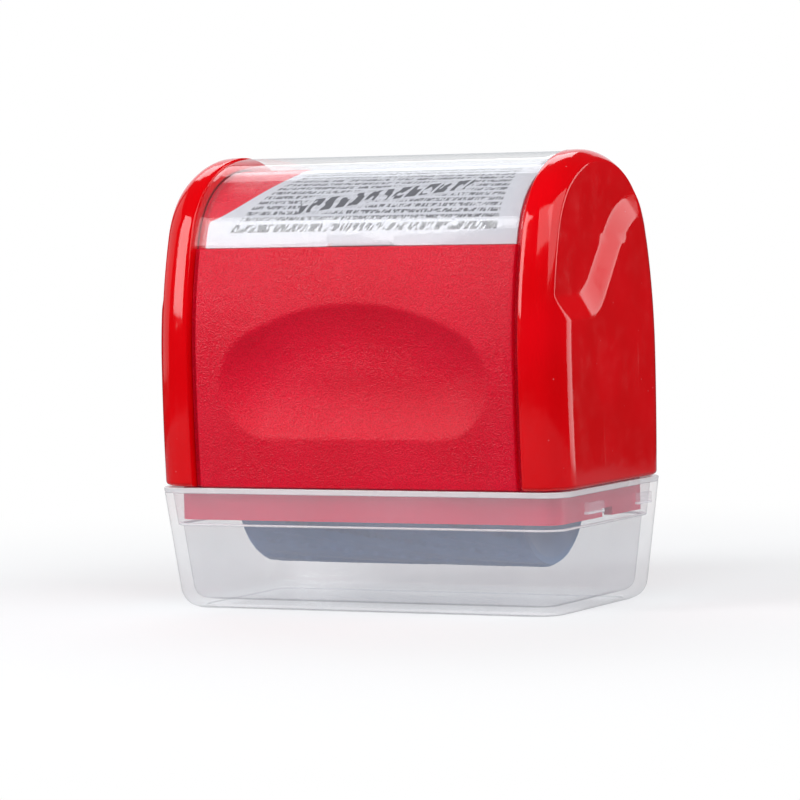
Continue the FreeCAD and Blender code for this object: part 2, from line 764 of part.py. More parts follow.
def make_print_sleeve():
    """The rubber printing sleeve, with lengthwise raised bands all round it."""
    body = new_body("print_sleeve")
    body.Placement.Rotation = FreeCAD.Rotation(V(0, 1, 0), 90)
    bind(body, "Placement.Base.z", "roller_axis")
    tube = new_sketch(body, "XY_Plane")
    add_circle(tube, "0", "0", "drum_radius + sleeve_wall")
    add_circle(tube, "0", "0", "drum_radius")
    pad(body, tube, "2 * sleeve_half", both_ways=True)
    band = new_sketch(body, "XY_Plane")
    half_band = "pi * roller_radius / relief_rows * relief_fill"
    add_box_outline(band, "drum_radius + sleeve_wall / 2", "roller_radius", f"-({half_band})", half_band)
    raised = pad(body, band, "2 * (sleeve_half - relief_rise)", both_ways=True)
    rows = body.newObject("PartDesign::PolarPattern", "relief_rows")
    rows.Originals = [raised]
    turning_axis = next(item for item in body.Origin.OriginFeatures if item.Role == "Z_Axis")
    rows.Axis = (turning_axis, [""])
    rows.Angle = 360
    bind(rows, "Occurrences", "relief_rows")
    body.Tip = rows
    return body


def make_axle_washers():
    """Thin spacers between the drum and its bushings."""
    right_start = "sleeve_half + washer_gap"
    starts = (right_start, f"-({right_start}) - washer_wall")
    washers = [
        ring(f"washer_{number}", "washer_radius", "axle_radius", start, "washer_wall", "roller_axis")
        for number, start in enumerate(starts, start=1)
    ]
    return group("axle_washers", washers)


def make_axle_clips():
    """Open spring clips that keep the axle from sliding out."""
    clips = []
    for number, start in enumerate(("clip_start", "-clip_start - clip_wall"), start=1):
        disc = ring(f"clip_disc_{number}", "clip_radius", "axle_radius", start, "clip_wall", "roller_axis")
        mouth = DOC.addObject("Part::Box", f"clip_mouth_{number}")
        bind(mouth, "Length", "clip_wall")
        bind(mouth, "Width", "clip_mouth")
        bind(mouth, "Height", "clip_radius")
        bind(mouth, "Placement.Base.x", start)
        bind(mouth, "Placement.Base.y", "-clip_mouth / 2")
        bind(mouth, "Placement.Base.z", "roller_axis - clip_radius")
        clips.append(cut(f"axle_clip_{number}", disc, mouth))
    return group("axle_clips", clips)


# ------------------------------------------------------------------ inking


def make_ink_core():
    """The ink roller's spindle: a thick middle and a journal at each end."""
    middle = lengthwise(
        "ink_middle", "ink_core_radius", "-ink_half - seam", "2 * (ink_half + seam)", INK_AXIS
    )
    journal = lengthwise("ink_journal", "axle_radius", "-ink_journal_half", "2 * ink_journal_half", INK_AXIS)
    return fuse("ink_core", [middle, journal])


def make_ink_foam():
    return ring("ink_foam", "ink_radius", "ink_core_radius", "-ink_half", "2 * ink_half", INK_AXIS)


def make_ink_carriage():
    """The sprung yoke: a top plate with a pin per spring and an arm at each end."""
    body = new_body("ink_carriage")
    profile = new_sketch(body, "XZ_Plane")
    outer = "(arm_inner + arm_wall)"
    arm_base = f"{INK_AXIS} - arm_drop"
    corners = [
        (f"-{outer}", arm_base),
        ("-arm_inner", arm_base),
        ("-arm_inner", "yoke_base"),
        ("arm_inner", "yoke_base"),
        ("arm_inner", arm_base),
        (outer, arm_base),
        (outer, YOKE_TOP),
        (f"-{outer}", YOKE_TOP),
    ]
    add_polygon(profile, corners)
    pad(body, profile, "2 * arm_half_y", both_ways=True)
    bores = new_sketch(body, "YZ_Plane")
    add_circle(bores, "0", INK_AXIS, "axle_radius + running_gap")
    pocket(body, bores, "width", both_ways=True)
    pins = new_sketch(body, "XY_Plane", YOKE_TOP)
    for side in (1, -1):
        add_circle(pins, f"{side} * spring_place", "0", "pin_radius")
    pad(body, pins, "pin_height")
    return body


def make_spring(label, side):
    """A compression spring between the yoke and the bridge."""
    helix = DOC.addObject("Part::Helix", label + "_helix")
    span = f"(cheek_top - {YOKE_TOP} - 2 * spring_wire - seam)"
    bind(helix, "Pitch", f"{span} / spring_turns")
    bind(helix, "Height", span)
    bind(helix, "Radius", "spring_radius - spring_wire")
    helix.SegmentLength = 1.0
    wire = DOC.addObject("Part::Circle", label + "_wire")
    bind(wire, "Radius", "spring_wire")
    wire.Placement.Rotation = FreeCAD.Rotation(V(1, 0, 0), 90)
    bind(wire, "Placement.Base.x", "spring_radius - spring_wire")
    coil = DOC.addObject("Part::Sweep", label)
    coil.Sections = [wire]
    DOC.recompute()
    coil.Spine = (helix, [f"Edge{turn}" for turn, _ in enumerate(helix.Shape.Edges, start=1)])
    coil.Solid = True
    coil.Frenet = True
    bind(coil, "Placement.Base.x", f"{side} * spring_place")
    bind(coil, "Placement.Base.z", f"{YOKE_TOP} + spring_wire + seam / 2")
    return coil


# ------------------------------------------------------------------ dust cap


def make_dust_cap():
    """The clear cap the stamp stands in: flared walls, an inner ledge and snap ribs at the ends."""
    body = new_body("dust_cap")
    slope = "(cap_top_x - cap_base_x) / cap_top"

    def level(up, inset, corner):
        sketch = new_sketch(body, "XY_Plane", up)
        half_x = f"cap_base_x + {slope} * ({up}) - ({inset})"
        half_y = f"cap_base_y + {slope} * ({up}) - ({inset})"
        add_rounded_rectangle(sketch, half_x, half_y, corner)
        return sketch

    pad(body, level("0", "0", "cap_round"), "cap_top", taper=f"atan({slope})")
    reach = value_of("cap_base_x")
    fillet(
        body,
        lambda edge: edge.BoundBox.ZMax < 1e-4 and abs(edge.BoundBox.Center.x) > reach - 0.01,
        "cap_end_round",
    )
    cavity = level("cap_floor", "cap_wall", "cap_round / 2")
    pocket(body, cavity, "cap_top", reverse=True, taper=f"atan({slope})")
    rim = level("cap_ledge", "cap_rim_wall", "cap_round")
    pocket(body, rim, "cap_top", reverse=True, taper=f"atan({slope})")
    inner = f"(cap_base_x + {slope} * rib_low - cap_rim_wall)"
    for side in (1, -1):
        for name in ("front_rib", "back_rib"):
            rib = new_sketch(body, "XY_Plane", "rib_low")
            left, right = sorted_formulas(side, f"{inner} - rib_rise", f"{inner} + cap_rim_wall / 2")
            add_box_outline(rib, left, right, f"{name}_low", f"{name}_high")
            pad(body, rib, "rib_high - rib_low")
    return body


# ------------------------------------------------------------------ build and write

NODES = [
    make_housing_shell(),
    make_end_cover("right_end_cover", 1),
    make_end_cover("left_end_cover", -1),
    make_top_window(),
    make_label_card(),
    make_roller_frame(),
    make_bushing("right_bushing", 1),
    make_bushing("left_bushing", -1),
    make_spring_bridge(),
    make_bridge_screws(),
    make_frame_screws(),
    make_roller_axle(),
    make_roller_core(),
    make_drum_flange("right_drum_flange", 1),
    make_drum_flange("left_drum_flange", -1),
    make_print_sleeve(),
    make_axle_washers(),
    make_axle_clips(),
    make_ink_core(),
    make_ink_foam(),
    make_ink_carriage(),
    make_spring("right_spring", 1),
    make_spring("left_spring", -1),
    make_dust_cap(),
]

DOC.recompute()
for thing in DOC.Objects:
    if {"Invalid", "Error"} & set(thing.State):
        raise RuntimeError(f"{thing.Name} ({thing.Label}) failed: {thing.State}")
os.makedirs("parts", exist_ok=True)
for node in NODES:
    shape = node.Shape
    if shape.isNull() or not shape.isValid() or not shape.Solids:
        raise RuntimeError(f"{node.Label} is not a valid solid")
    shape.exportStep(f"parts/{node.Label}.step")
    print(f"{node.Label}: {len(shape.Solids)} solid(s), {shape.Volume / 1000:.3f} cm3")
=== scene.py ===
import math

import bmesh
import bpy
from mathutils import Matrix, Vector, noise


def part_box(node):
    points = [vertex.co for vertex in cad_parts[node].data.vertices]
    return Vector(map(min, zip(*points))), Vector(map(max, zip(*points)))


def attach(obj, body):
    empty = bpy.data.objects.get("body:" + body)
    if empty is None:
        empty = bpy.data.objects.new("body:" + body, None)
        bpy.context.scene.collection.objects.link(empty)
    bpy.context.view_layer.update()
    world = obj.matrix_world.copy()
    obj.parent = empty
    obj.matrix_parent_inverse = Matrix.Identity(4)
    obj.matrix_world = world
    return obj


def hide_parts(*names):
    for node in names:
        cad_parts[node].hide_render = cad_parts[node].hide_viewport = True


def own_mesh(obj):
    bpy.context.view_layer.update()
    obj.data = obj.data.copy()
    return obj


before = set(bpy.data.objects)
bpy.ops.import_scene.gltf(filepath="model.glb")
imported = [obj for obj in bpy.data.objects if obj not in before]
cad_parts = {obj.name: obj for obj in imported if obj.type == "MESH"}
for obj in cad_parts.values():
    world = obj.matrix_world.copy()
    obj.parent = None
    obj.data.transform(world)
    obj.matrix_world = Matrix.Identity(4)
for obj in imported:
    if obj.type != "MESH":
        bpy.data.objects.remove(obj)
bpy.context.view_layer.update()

# Looks of the roller stamp. Shapes are worked out in millimetres in the frame's own axes and
# scaled when a mesh is made. X runs along the roller, -Y is the front and +Z is up.

MM = 0.001


def corners_mm(node):
    """Lowest and highest corner of a CAD node, in millimetres."""
    low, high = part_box(node)
    return low / MM, high / MM


# ---- places from the frame

cover_low, cover_high = corners_mm("right_end_cover")
shell_high = corners_mm("housing_shell")[1]
window_low = corners_mm("top_window")[0]
label_low, label_high = corners_mm("label_card")
sleeve_low, sleeve_high = corners_mm("print_sleeve")
foam_low, foam_high = corners_mm("ink_foam")
cap_high = corners_mm("dust_cap")[1]

HALF_WIDTH = cover_high.x
COVER_START = cover_low.x
HALF_DEPTH = cover_high.y
HEIGHT = cover_high.z
BODY_BASE = cover_low.z
SHELL_HALF = shell_high.x
WINDOW_BASE = window_low.z
WINDOW_GAP = 0.1
LEDGE = WINDOW_BASE - WINDOW_GAP

# ---- the arched outline

CROWN_RADIUS = 22.0
SHOULDER_RADIUS = 16.0
SIDE_RADIUS = 76.0
FLANK_RADIUS = 300.0
CROWN_LEAN = math.radians(32.0)
UPRIGHT = math.pi / 2
PAST_UPRIGHT = 0.12

SHOULDER_OUT = (CROWN_RADIUS - SHOULDER_RADIUS) * math.sin(CROWN_LEAN)
SHOULDER_UP = HEIGHT - CROWN_RADIUS + (CROWN_RADIUS - SHOULDER_RADIUS) * math.cos(CROWN_LEAN)
SIDE_LEAN = math.acos((SHOULDER_OUT - HALF_DEPTH + SIDE_RADIUS) / (SIDE_RADIUS - SHOULDER_RADIUS))
WIDEST = SHOULDER_UP - (SIDE_RADIUS - SHOULDER_RADIUS) * math.sin(SIDE_LEAN)


def arc_at(lean):
    """Centre and radius of the arc whose outward normal leans that far from straight up."""
    if lean < CROWN_LEAN:
        return 0.0, HEIGHT - CROWN_RADIUS, CROWN_RADIUS
    if lean < UPRIGHT - SIDE_LEAN:
        return SHOULDER_OUT, SHOULDER_UP, SHOULDER_RADIUS
    if lean < UPRIGHT:
        return HALF_DEPTH - SIDE_RADIUS, WIDEST, SIDE_RADIUS
    return HALF_DEPTH - FLANK_RADIUS, WIDEST, FLANK_RADIUS


def outline(lean, sink=0.0):
    """The point (across, up) of the outline moved inwards by sink. A negative lean is in front."""
    across, up, radius = arc_at(abs(lean))
    reach = radius - sink
    return (
        math.copysign(across + reach * math.sin(abs(lean)), lean),
        up + reach * math.cos(abs(lean)),
    )


def lean_at(height, sink=0.0):
    """The lean at which the outline moved inwards by sink is that high."""
    low, high = 0.0, UPRIGHT + PAST_UPRIGHT
    for _ in range(40):
        middle = (low + high) / 2
        if outline(middle, sink)[1] > height:
            low = middle
        else:
            high = middle
    return (low + high) / 2


def walk(first, last, step):
    """Leans from first to last, about step apart along the outline."""
    leans = [first]
    while leans[-1] < last:
        leans.append(leans[-1] + step / arc_at(leans[-1])[2])
    leans[-1] = last
    return leans


def spread(first, last, step):
    """Evenly spaced numbers from first to last, at most step apart."""
    count = max(1, math.ceil(abs(last - first) / step - 1e-9))
    return [first + (last - first) * i / count for i in range(count + 1)]


def clamp(value, low=0.0, high=1.0):
    """The value, kept between low and high."""
    return min(high, max(low, value))


def smooth(value):
    """An S-shaped rise from 0 to 1."""
    value = clamp(value)
    return value * value * (3 - 2 * value)


def soft_min(a, b, blend):
    """The smaller of two heights with the edge between them rounded."""
    share = clamp(0.5 + 0.5 * (b - a) / blend)
    return b * (1 - share) + a * share - blend * share * (1 - share)


def soft_max(a, b, blend):
    """The larger of two heights with the edge between them rounded."""
    return -soft_min(-a, -b, blend)


def rounding(distance, radius):
    """How far a rounded edge lies inside the surface at a distance from the edge."""
    if distance >= radius:
        return 0.0
    gap = radius - max(distance, 0.0)
    return radius - math.sqrt(max(radius * radius - gap * gap, 0.0))


# ---- meshes


WELD = 2e-6
SLIVER = 1e-7


def make_piece(name, points, faces, smooth_angle=38.0):
    """A mesh object from millimetre points, welded, with outward faces and smooth shading."""
    mesh = bpy.data.meshes.new(name)
    mesh.from_pydata([tuple(c * MM for c in p) for p in points], [], faces)
    shape = bmesh.new()
    shape.from_mesh(mesh)
    bmesh.ops.remove_doubles(shape, verts=shape.verts, dist=WELD)
    bmesh.ops.dissolve_degenerate(shape, edges=shape.edges, dist=SLIVER)
    bmesh.ops.recalc_face_normals(shape, faces=shape.faces)
    shape.to_mesh(mesh)
    shape.free()
    mesh.shade_smooth()
    mesh.set_sharp_from_angle(angle=math.radians(smooth_angle))
    piece = bpy.data.objects.new(name, mesh)
    bpy.context.scene.collection.objects.link(piece)
    return piece


def grid_faces(rows, columns, start=0, closed=False):
    """Quads over a grid of points stored row by row; closed joins the last column to the first."""
    faces = []
    for row in range(rows - 1):
        for column in range(columns if closed else columns - 1):
            beside = (column + 1) % columns
            a = start + row * columns + column
            b = start + row * columns + beside
            faces.append((a, b, b + columns, a + columns))
    return faces


def make_shell(name, outer, inner, folded=False, **options):
    """
    A closed wall between two grids of points with the same rows and columns.

    A folded grid closes on itself along its first row, which then needs no rim.
    """
    rows, columns = len(outer), len(outer[0])
    count = rows * columns
    points = [p for row in outer for p in row] + [p for row in inner for p in row]
    faces = grid_faces(rows, columns)
    faces += [face[::-1] for face in grid_faces(rows, columns, count)]
    border = [(0, c) for c in range(columns)]
    border += [(r, columns - 1) for r in range(1, rows)]
    border += [(rows - 1, c) for c in range(columns - 2, -1, -1)]
    border += [(r, 0) for r in range(rows - 2, 0, -1)]
    for (row_a, column_a), (row_b, column_b) in zip(border, border[1:] + border[:1]):
        if folded and row_a == 0 and row_b == 0:
            continue
        a, b = row_a * columns + column_a, row_b * columns + column_b
        faces.append((b, a, a + count, b + count))
    return make_piece(name, points, faces, **options)


def make_loft(name, loops, **options):
    """A solid through closed loops of points, with its first and last loop filled."""
    columns = len(loops[0])
    points = [p for loop in loops for p in loop]
    faces = grid_faces(len(loops), columns, closed=True)
    faces.append(tuple(range(columns))[::-1])
    faces.append(tuple(range(len(points) - columns, len(points))))
    return make_piece(name, points, faces, **options)


def make_tube(name, loops, **options):
    """A ring-shaped solid through closed loops, with the last loop joined to the first."""
    columns = len(loops[0])
    points = [p for loop in loops + loops[:1] for p in loop]
    return make_piece(name, points, grid_faces(len(loops) + 1, columns, closed=True), **options)


def circle(along, radius, centre_up, turns):
    """A loop round the X axis at centre_up."""
    return [(along, radius * math.sin(t), centre_up + radius * math.cos(t)) for t in turns]


def full_turn(around):
    """Evenly spaced angles once round."""
    return [math.tau * place / around for place in range(around)]


def dress(piece, material, body, slot, *nodes):
    """Give a piece its material and its body, and hide the CAD nodes it stands for; slot is not
    used.
    """
    piece.data.materials.append(material)
    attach(piece, body)
    if nodes:
        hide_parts(*nodes)
    return piece


# ---- material helpers


class Nodes:
    """A small wrapper to build a node material."""

    def __init__(self, name):
        self.material = bpy.data.materials.new(name)
        self.material.use_nodes = True
        self.tree = self.material.node_tree
        self.shader = self.tree.nodes["Principled BSDF"]
        self.output = self.tree.nodes["Material Output"]
        self.place = self.add("ShaderNodeTexCoord").outputs["Object"]

    def add(self, kind, **settings):
        """A new node with its settings."""
        node = self.tree.nodes.new(kind)
        for key, value in settings.items():
            setattr(node, key, value)
        return node

    def wire(self, source, target):
        """Join a socket to another, or set a fixed value."""
        if isinstance(source, (int, float, tuple)):
            target.default_value = source
        else:
            self.tree.links.new(source, target)

    def scaled(self, factors):
        """The object's own coordinates, scaled."""
        node = self.add("ShaderNodeMapping")
        self.wire(self.place, node.inputs["Vector"])
        node.inputs["Scale"].default_value = factors
        return node.outputs["Vector"]

    def noise(self, per_mm, detail=3.0, roughness=0.5, stretch=(1, 1, 1)):
        """Cloudy noise with that many features to a millimetre."""
        scale = per_mm / MM
        return self.noise_over(self.scaled(tuple(s * scale for s in stretch)), detail, roughness)

    def noise_over(self, vector, detail, roughness=0.5):
        """Cloudy noise over a vector, one feature to a unit."""
        node = self.add("ShaderNodeTexNoise")
        self.wire(vector, node.inputs["Vector"])
        node.inputs["Scale"].default_value = 1.0
        node.inputs["Detail"].default_value = detail
        node.inputs["Roughness"].default_value = roughness
        return node.outputs["Fac"]

    def noise_at(self, x, y, z, detail):
        """Cloudy noise over three separate values."""
        place = self.add("ShaderNodeCombineXYZ")
        for value, socket in zip((x, y, z), place.inputs):
            self.wire(value, socket)
        return self.noise_over(place.outputs["Vector"], detail)

    def cells(self, per_mm):
        """Distance to the middle of the nearest cell, with that many cells to a millimetre."""
        node = self.add("ShaderNodeTexVoronoi", feature="F1")
        self.wire(self.scaled((per_mm / MM,) * 3), node.inputs["Vector"])
        node.inputs["Scale"].default_value = 1.0
        return node.outputs["Distance"]

    def math(self, operation, a, b=0.0, c=0.0):
        """The result of a math node."""
        node = self.add("ShaderNodeMath", operation=operation)
        for value, socket in zip((a, b, c), node.inputs):
            self.wire(value, socket)
        return node.outputs["Value"]

    def span(self, value, low, high, to_low=0.0, to_high=1.0, curve="SMOOTHSTEP"):
        """Map a value from one range to another, held at both ends."""
        node = self.add("ShaderNodeMapRange", interpolation_type=curve)
        for item, number in zip(node.inputs[:5], (value, low, high, to_low, to_high)):
            self.wire(number, item)
        return node.outputs["Result"]

    def product(self, first, *others):
        """All the values multiplied."""
        for other in others:
            first = self.math("MULTIPLY", first, other)
        return first

    def between(self, value, rise, fall):
        """1 between the two places, with a soft start over rise and a soft end over fall."""
        return self.math("MULTIPLY", self.span(value, *rise), self.span(value, *fall, 1.0, 0.0))

    def mix(self, share, a, b):
        """A colour from a to b."""
        node = self.add("ShaderNodeMix", data_type="RGBA")
        self.wire(share, node.inputs[0])
        self.wire(a, node.inputs[6])
        self.wire(b, node.inputs[7])
        return node.outputs[2]

    def bump(self, height, strength, depth_mm, below=None):
        """A normal that shows the height as relief, over another normal if one is given."""
        node = self.add("ShaderNodeBump")
        node.inputs["Strength"].default_value = strength
        node.inputs["Distance"].default_value = depth_mm * MM
        self.wire(height, node.inputs["Height"])
        if below is not None:
            self.wire(below, node.inputs["Normal"])
        return node.outputs["Normal"]

    def blend(self, share, a, b):
        """A mix of two shaders."""
        node = self.add("ShaderNodeMixShader")
        self.wire(share, node.inputs["Fac"])
        self.wire(a, node.inputs[1])
        self.wire(b, node.inputs[2])
        return node.outputs["Shader"]

    def finish(self, colour, roughness, normal=None, **fixed):
        """Wire up the main shader; fixed values go on its own sockets."""
        for name, value in (("Base Color", colour), ("Roughness", roughness), ("Normal", normal)):
            if value is not None:
                self.wire(value, self.shader.inputs[name])
        for name, value in fixed.items():
            self.shader.inputs[name.replace("_", " ")].default_value = value
        return self.material


def rgb(red, green, blue):
    """An opaque colour."""
    return (red, green, blue, 1.0)


def make_textured_red():
    """Matte moulded plastic with a fine spark-eroded grain and faint handling marks."""
    n = Nodes("textured_red")
    grain = n.noise(4.0, detail=1.0)
    fine = n.noise(9.0, detail=0.5)
    cloud = n.noise(0.05, detail=3.0)
    rub = n.noise(0.12, detail=4.0, stretch=(0.35, 1, 1))
    colour = n.mix(n.span(cloud, 0.3, 0.7), rgb(0.77, 0.002, 0.024), rgb(0.84, 0.004, 0.034))
    colour = n.mix(n.span(grain, 0.40, 0.65, 0.0, 0.55), colour, rgb(0.54, 0.001, 0.014))
    rough = n.span(rub, 0.35, 0.75, 0.27, 0.34)
    height = n.math("MULTIPLY_ADD", fine, 0.35, grain)
    return n.finish(colour, rough, n.bump(height, 1.0, 0.12), Specular_IOR_Level=0.26, IOR=1.5)


def make_gloss_red():
    """Polished red plastic with hairline scratches, a little waviness and a few specks of dust."""
    n = Nodes("gloss_red")
    wave = n.noise(0.07, detail=1.0)
    haze = n.noise(0.25, detail=5.0, roughness=0.65)
    scratch = n.noise(1.6, detail=2.0, stretch=(1.0, 1.0, 0.04))
    speck = n.span(n.cells(0.33), 0.035, 0.055, 1.0, 0.0)
    colour = n.mix(n.span(wave, 0.3, 0.7), rgb(0.76, 0.0006, 0.003), rgb(0.84, 0.0008, 0.005))
    colour = n.mix(n.math("MULTIPLY", speck, 0.55), colour, rgb(0.80, 0.18, 0.20))
    rough = n.span(haze, 0.35, 0.8, 0.055, 0.15)
    rough = n.math("ADD", rough, n.span(scratch, 0.66, 0.74, 0.0, 0.10))
    normal = n.bump(wave, 0.25, 0.25)
    normal = n.bump(scratch, 0.05, 0.01, below=normal)
    return n.finish(colour, rough, normal, Specular_IOR_Level=0.35, IOR=1.5)


def make_satin_red():
    """The satin red moulding of the roller frame, whose skirt shows through the dust cap."""
    n = Nodes("satin_red")
    grain = n.noise(3.0, detail=2.0)
    flow = n.noise(0.08, detail=3.0, stretch=(0.4, 1, 1))
    colour = n.mix(n.span(flow, 0.3, 0.7), rgb(0.60, 0.005, 0.055), rgb(0.68, 0.008, 0.070))
    return n.finish(colour, n.span(flow, 0.3, 0.7, 0.30, 0.42), n.bump(grain, 0.3, 0.03))


CLEAR_MIRROR = 0.02
MIRROR_POWER = 5.0


def make_clear(name, tint, haze, glance, rough_low, rough_high, wear):
    """Clear moulded plastic: mostly see-through, a share milky, shinier at a glancing angle."""
    n = Nodes(name)
    cloud = n.noise(0.06, detail=4.0)
    scuff = n.noise(0.9, detail=3.0, stretch=(0.12, 1, 1))
    colour = n.mix(n.span(cloud, 0.3, 0.7), tint, rgb(*(c * 0.94 for c in tint[:3])))
    rough = n.span(cloud, 0.3, 0.7, rough_low, rough_high)
    normal = n.bump(n.noise(0.12, detail=1.0), 0.2, 0.06)
    n.finish(colour, rough, normal)
    clear = n.add("ShaderNodeBsdfTransparent")
    milk = n.math("ADD", haze, n.span(cloud, 0.35, 0.75, 0.0, wear))
    milk = n.math("ADD", milk, n.span(scuff, 0.68, 0.8, 0.0, wear))
    body = n.blend(milk, clear.outputs["BSDF"], n.shader.outputs["BSDF"])
    edge = n.add("ShaderNodeLayerWeight")
    edge.inputs["Blend"].default_value = 0.5
    n.wire(normal, edge.inputs["Normal"])
    glancing = n.math("POWER", edge.outputs["Facing"], MIRROR_POWER)
    mirror = n.math("MULTIPLY_ADD", glancing, glance, CLEAR_MIRROR)
    shine = n.add("ShaderNodeBsdfGlossy")
    n.wire(rough, shine.inputs["Roughness"])
    n.wire(normal, shine.inputs["Normal"])
    n.wire(n.blend(mirror, body, shine.outputs["BSDF"]), n.output.inputs["Surface"])
    return n.material


# The print's places are millimetres along the card and up the arch from its front edge. A pair is
# where an edge of the print starts and ends.
LARGE_ROW = 2.2
SMALL_ROW = 1.1
SMALL_ROWS_START = 4.4
PRINT_FOOT = (2.2, 2.3)
PRINT_HEAD = (17.4, 17.6)
PRINT_RIGHT = (24.6, 25.0)
PRINT_LEFT = -26.5
LEFT_SLANT = 0.75
STROKE_SLANT = -0.55
LARGE_STROKES = 2.2
SMALL_STROKES = 3.6
BAND_SLOPE = -0.16
BAND_FOOT = (7.6, 7.8)
BAND_HEAD = (10.2, 10.4)
BAND_LEFT = (-12.2, -12.0)
BAND_RIGHT = (18.0, 18.2)
HALO_FOOT = (6.9, 7.1)
HALO_HEAD = (10.9, 11.1)
BAND_CELL = 2.5


def small_print(n, along, up):
    """Rows of small slanted marks: one large row in front and small rows behind it."""
    upper = n.math("GREATER_THAN", up, SMALL_ROWS_START)
    row_height = n.math("MULTIPLY_ADD", upper, SMALL_ROW - LARGE_ROW, LARGE_ROW)
    row = n.math("DIVIDE", n.math("SUBTRACT", up, SMALL_ROWS_START), row_height)
    within = n.math("FRACT", row)
    leaning = n.math("MULTIPLY_ADD", up, STROKE_SLANT, along)
    strokes_per_mm = n.math("MULTIPLY_ADD", upper, SMALL_STROKES - LARGE_STROKES, LARGE_STROKES)
    stroke = n.noise_at(
        n.math("MULTIPLY", leaning, strokes_per_mm),
        n.math("MULTIPLY", n.math("FLOOR", row), 7.3),
        n.math("MULTIPLY", within, 1.5),
        detail=1.0,
    )
    marks = n.product(n.between(within, (0.12, 0.2), (0.74, 0.82)), n.span(stroke, 0.45, 0.51))
    from_left = n.math("SUBTRACT", along, n.math("MULTIPLY_ADD", up, LEFT_SLANT, PRINT_LEFT))
    field = n.product(
        n.between(up, PRINT_FOOT, PRINT_HEAD),
        n.span(from_left, 0.0, 0.3),
        n.span(along, *PRINT_RIGHT, 1.0, 0.0),
    )
    strength = n.span(up, 4.2, 8.0, 0.90, 0.82, curve="LINEAR")
    return n.product(marks, field, strength)


def bold_print(n, along, up):
    """One bold sloping row of noise marks, and the clear space round it."""
    slope = n.math("MULTIPLY_ADD", along, BAND_SLOPE, up)
    band_along = n.math("MULTIPLY_ADD", slope, -0.5, along)
    cell = n.math("FRACT", n.math("DIVIDE", band_along, BAND_CELL))
    glyph = n.noise_at(
        n.math("MULTIPLY", band_along, 0.75), n.math("MULTIPLY", slope, 0.55), 0.0, detail=0.5
    )
    mark = n.product(n.between(cell, (0.06, 0.12), (0.84, 0.90)), n.span(glyph, 0.44, 0.48))
    reach = n.between(along, BAND_LEFT, BAND_RIGHT)
    bold = n.product(n.between(slope, BAND_FOOT, BAND_HEAD), mark, reach, 0.92)
    return bold, n.product(n.between(slope, HALO_FOOT, HALO_HEAD), reach)


def make_label_paper():
    """White card with rows of small marks and one bold sloping row, none of them letters."""
    n = Nodes("label_paper")
    split = n.add("ShaderNodeSeparateXYZ")
    n.wire(n.add("ShaderNodeUVMap", uv_map="print").outputs["UV"], split.inputs["Vector"])
    along, up = split.outputs["X"], split.outputs["Y"]
    paper = n.noise(0.8, detail=5.0)
    fibre = n.noise(4.0, detail=3.0)
    bold, halo = bold_print(n, along, up)
    quiet = n.math("SUBTRACT", 1.0, n.math("MULTIPLY", halo, 0.75))
    ink = n.math("MAXIMUM", n.product(small_print(n, along, up), quiet), bold)
    white = n.mix(n.span(paper, 0.3, 0.7), rgb(0.60, 0.61, 0.67), rgb(0.64, 0.65, 0.70))
    colour = n.mix(ink, white, rgb(0.07, 0.07, 0.085))
    return n.finish(colour, n.span(paper, 0.3, 0.7, 0.45, 0.62), n.bump(fibre, 0.15, 0.02))


def make_rubber():
    """Dark printing rubber, stained by ink, with a fine ground surface."""
    n = Nodes("printing_rubber")
    stain = n.noise(0.18, detail=5.0, roughness=0.6)
    grind = n.noise(2.5, detail=3.0, stretch=(0.25, 1, 1))
    colour = n.mix(n.span(stain, 0.35, 0.7), rgb(0.10, 0.22, 0.42), rgb(0.14, 0.27, 0.50))
    rough = n.span(stain, 0.3, 0.7, 0.42, 0.65)
    return n.finish(colour, rough, n.bump(grind, 0.35, 0.04), Specular_IOR_Level=0.4)


def make_felt():
    """Ink-soaked foam: open cells, dark and damp in patches."""
    n = Nodes("ink_felt")
    damp = n.noise(0.15, detail=4.0)
    colour = n.mix(n.span(damp, 0.35, 0.7), rgb(0.012, 0.014, 0.030), rgb(0.035, 0.040, 0.075))
    rough = n.span(damp, 0.35, 0.7, 0.55, 0.92)
    return n.finish(colour, rough, n.bump(n.cells(1.9), 0.8, 0.18))


def make_plastic(name, dark, light, rough_low, rough_high):
    """Plain moulded plastic with flow marks and a fine surface grain."""
    n = Nodes(name)
    flow = n.noise(0.10, detail=4.0, stretch=(0.5, 1, 1))
    grain = n.noise(3.2, detail=2.0)
    colour = n.mix(n.span(flow, 0.3, 0.7), dark, light)
    rough = n.span(flow, 0.3, 0.7, rough_low, rough_high)
    return n.finish(colour, rough, n.bump(grain, 0.25, 0.03))


def make_metal(name, dark, light, stretch, rough_low, rough_high):
    """Drawn or plated steel, brushed one way, with dull patches."""
    n = Nodes(name)
    brushed = n.noise(3.0, detail=3.0, stretch=stretch)
    patch = n.noise(0.2, detail=4.0)
    colour = n.mix(n.span(patch, 0.3, 0.7), dark, light)
    rough = n.span(patch, 0.3, 0.7, rough_low, rough_high)
    rough = n.math("ADD", rough, n.span(brushed, 0.5, 0.8, 0.0, 0.08))
    return n.finish(colour, rough, n.bump(brushed, 0.2, 0.02), Metallic=1.0)


# Clear finishes: tint, haze, glance, roughness from and to, wear.
CLEAR_FINISHES = {
    "clear_window": (rgb(0.86, 0.89, 0.94), 0.02, 0.9, 0.03, 0.07, 0.01),
    "clear_cap": (rgb(0.92, 0.915, 0.975), 0.14, 0.4, 0.06, 0.14, 0.03),
    # The last finish is whiter and milkier than the cap: it paints highlight lines where the cap's
    # rim, ledge and ribs catch the light.
    "frosted_edge": (rgb(0.97, 0.97, 0.99), 0.58, 0.3, 0.15, 0.30, 0.05),
}
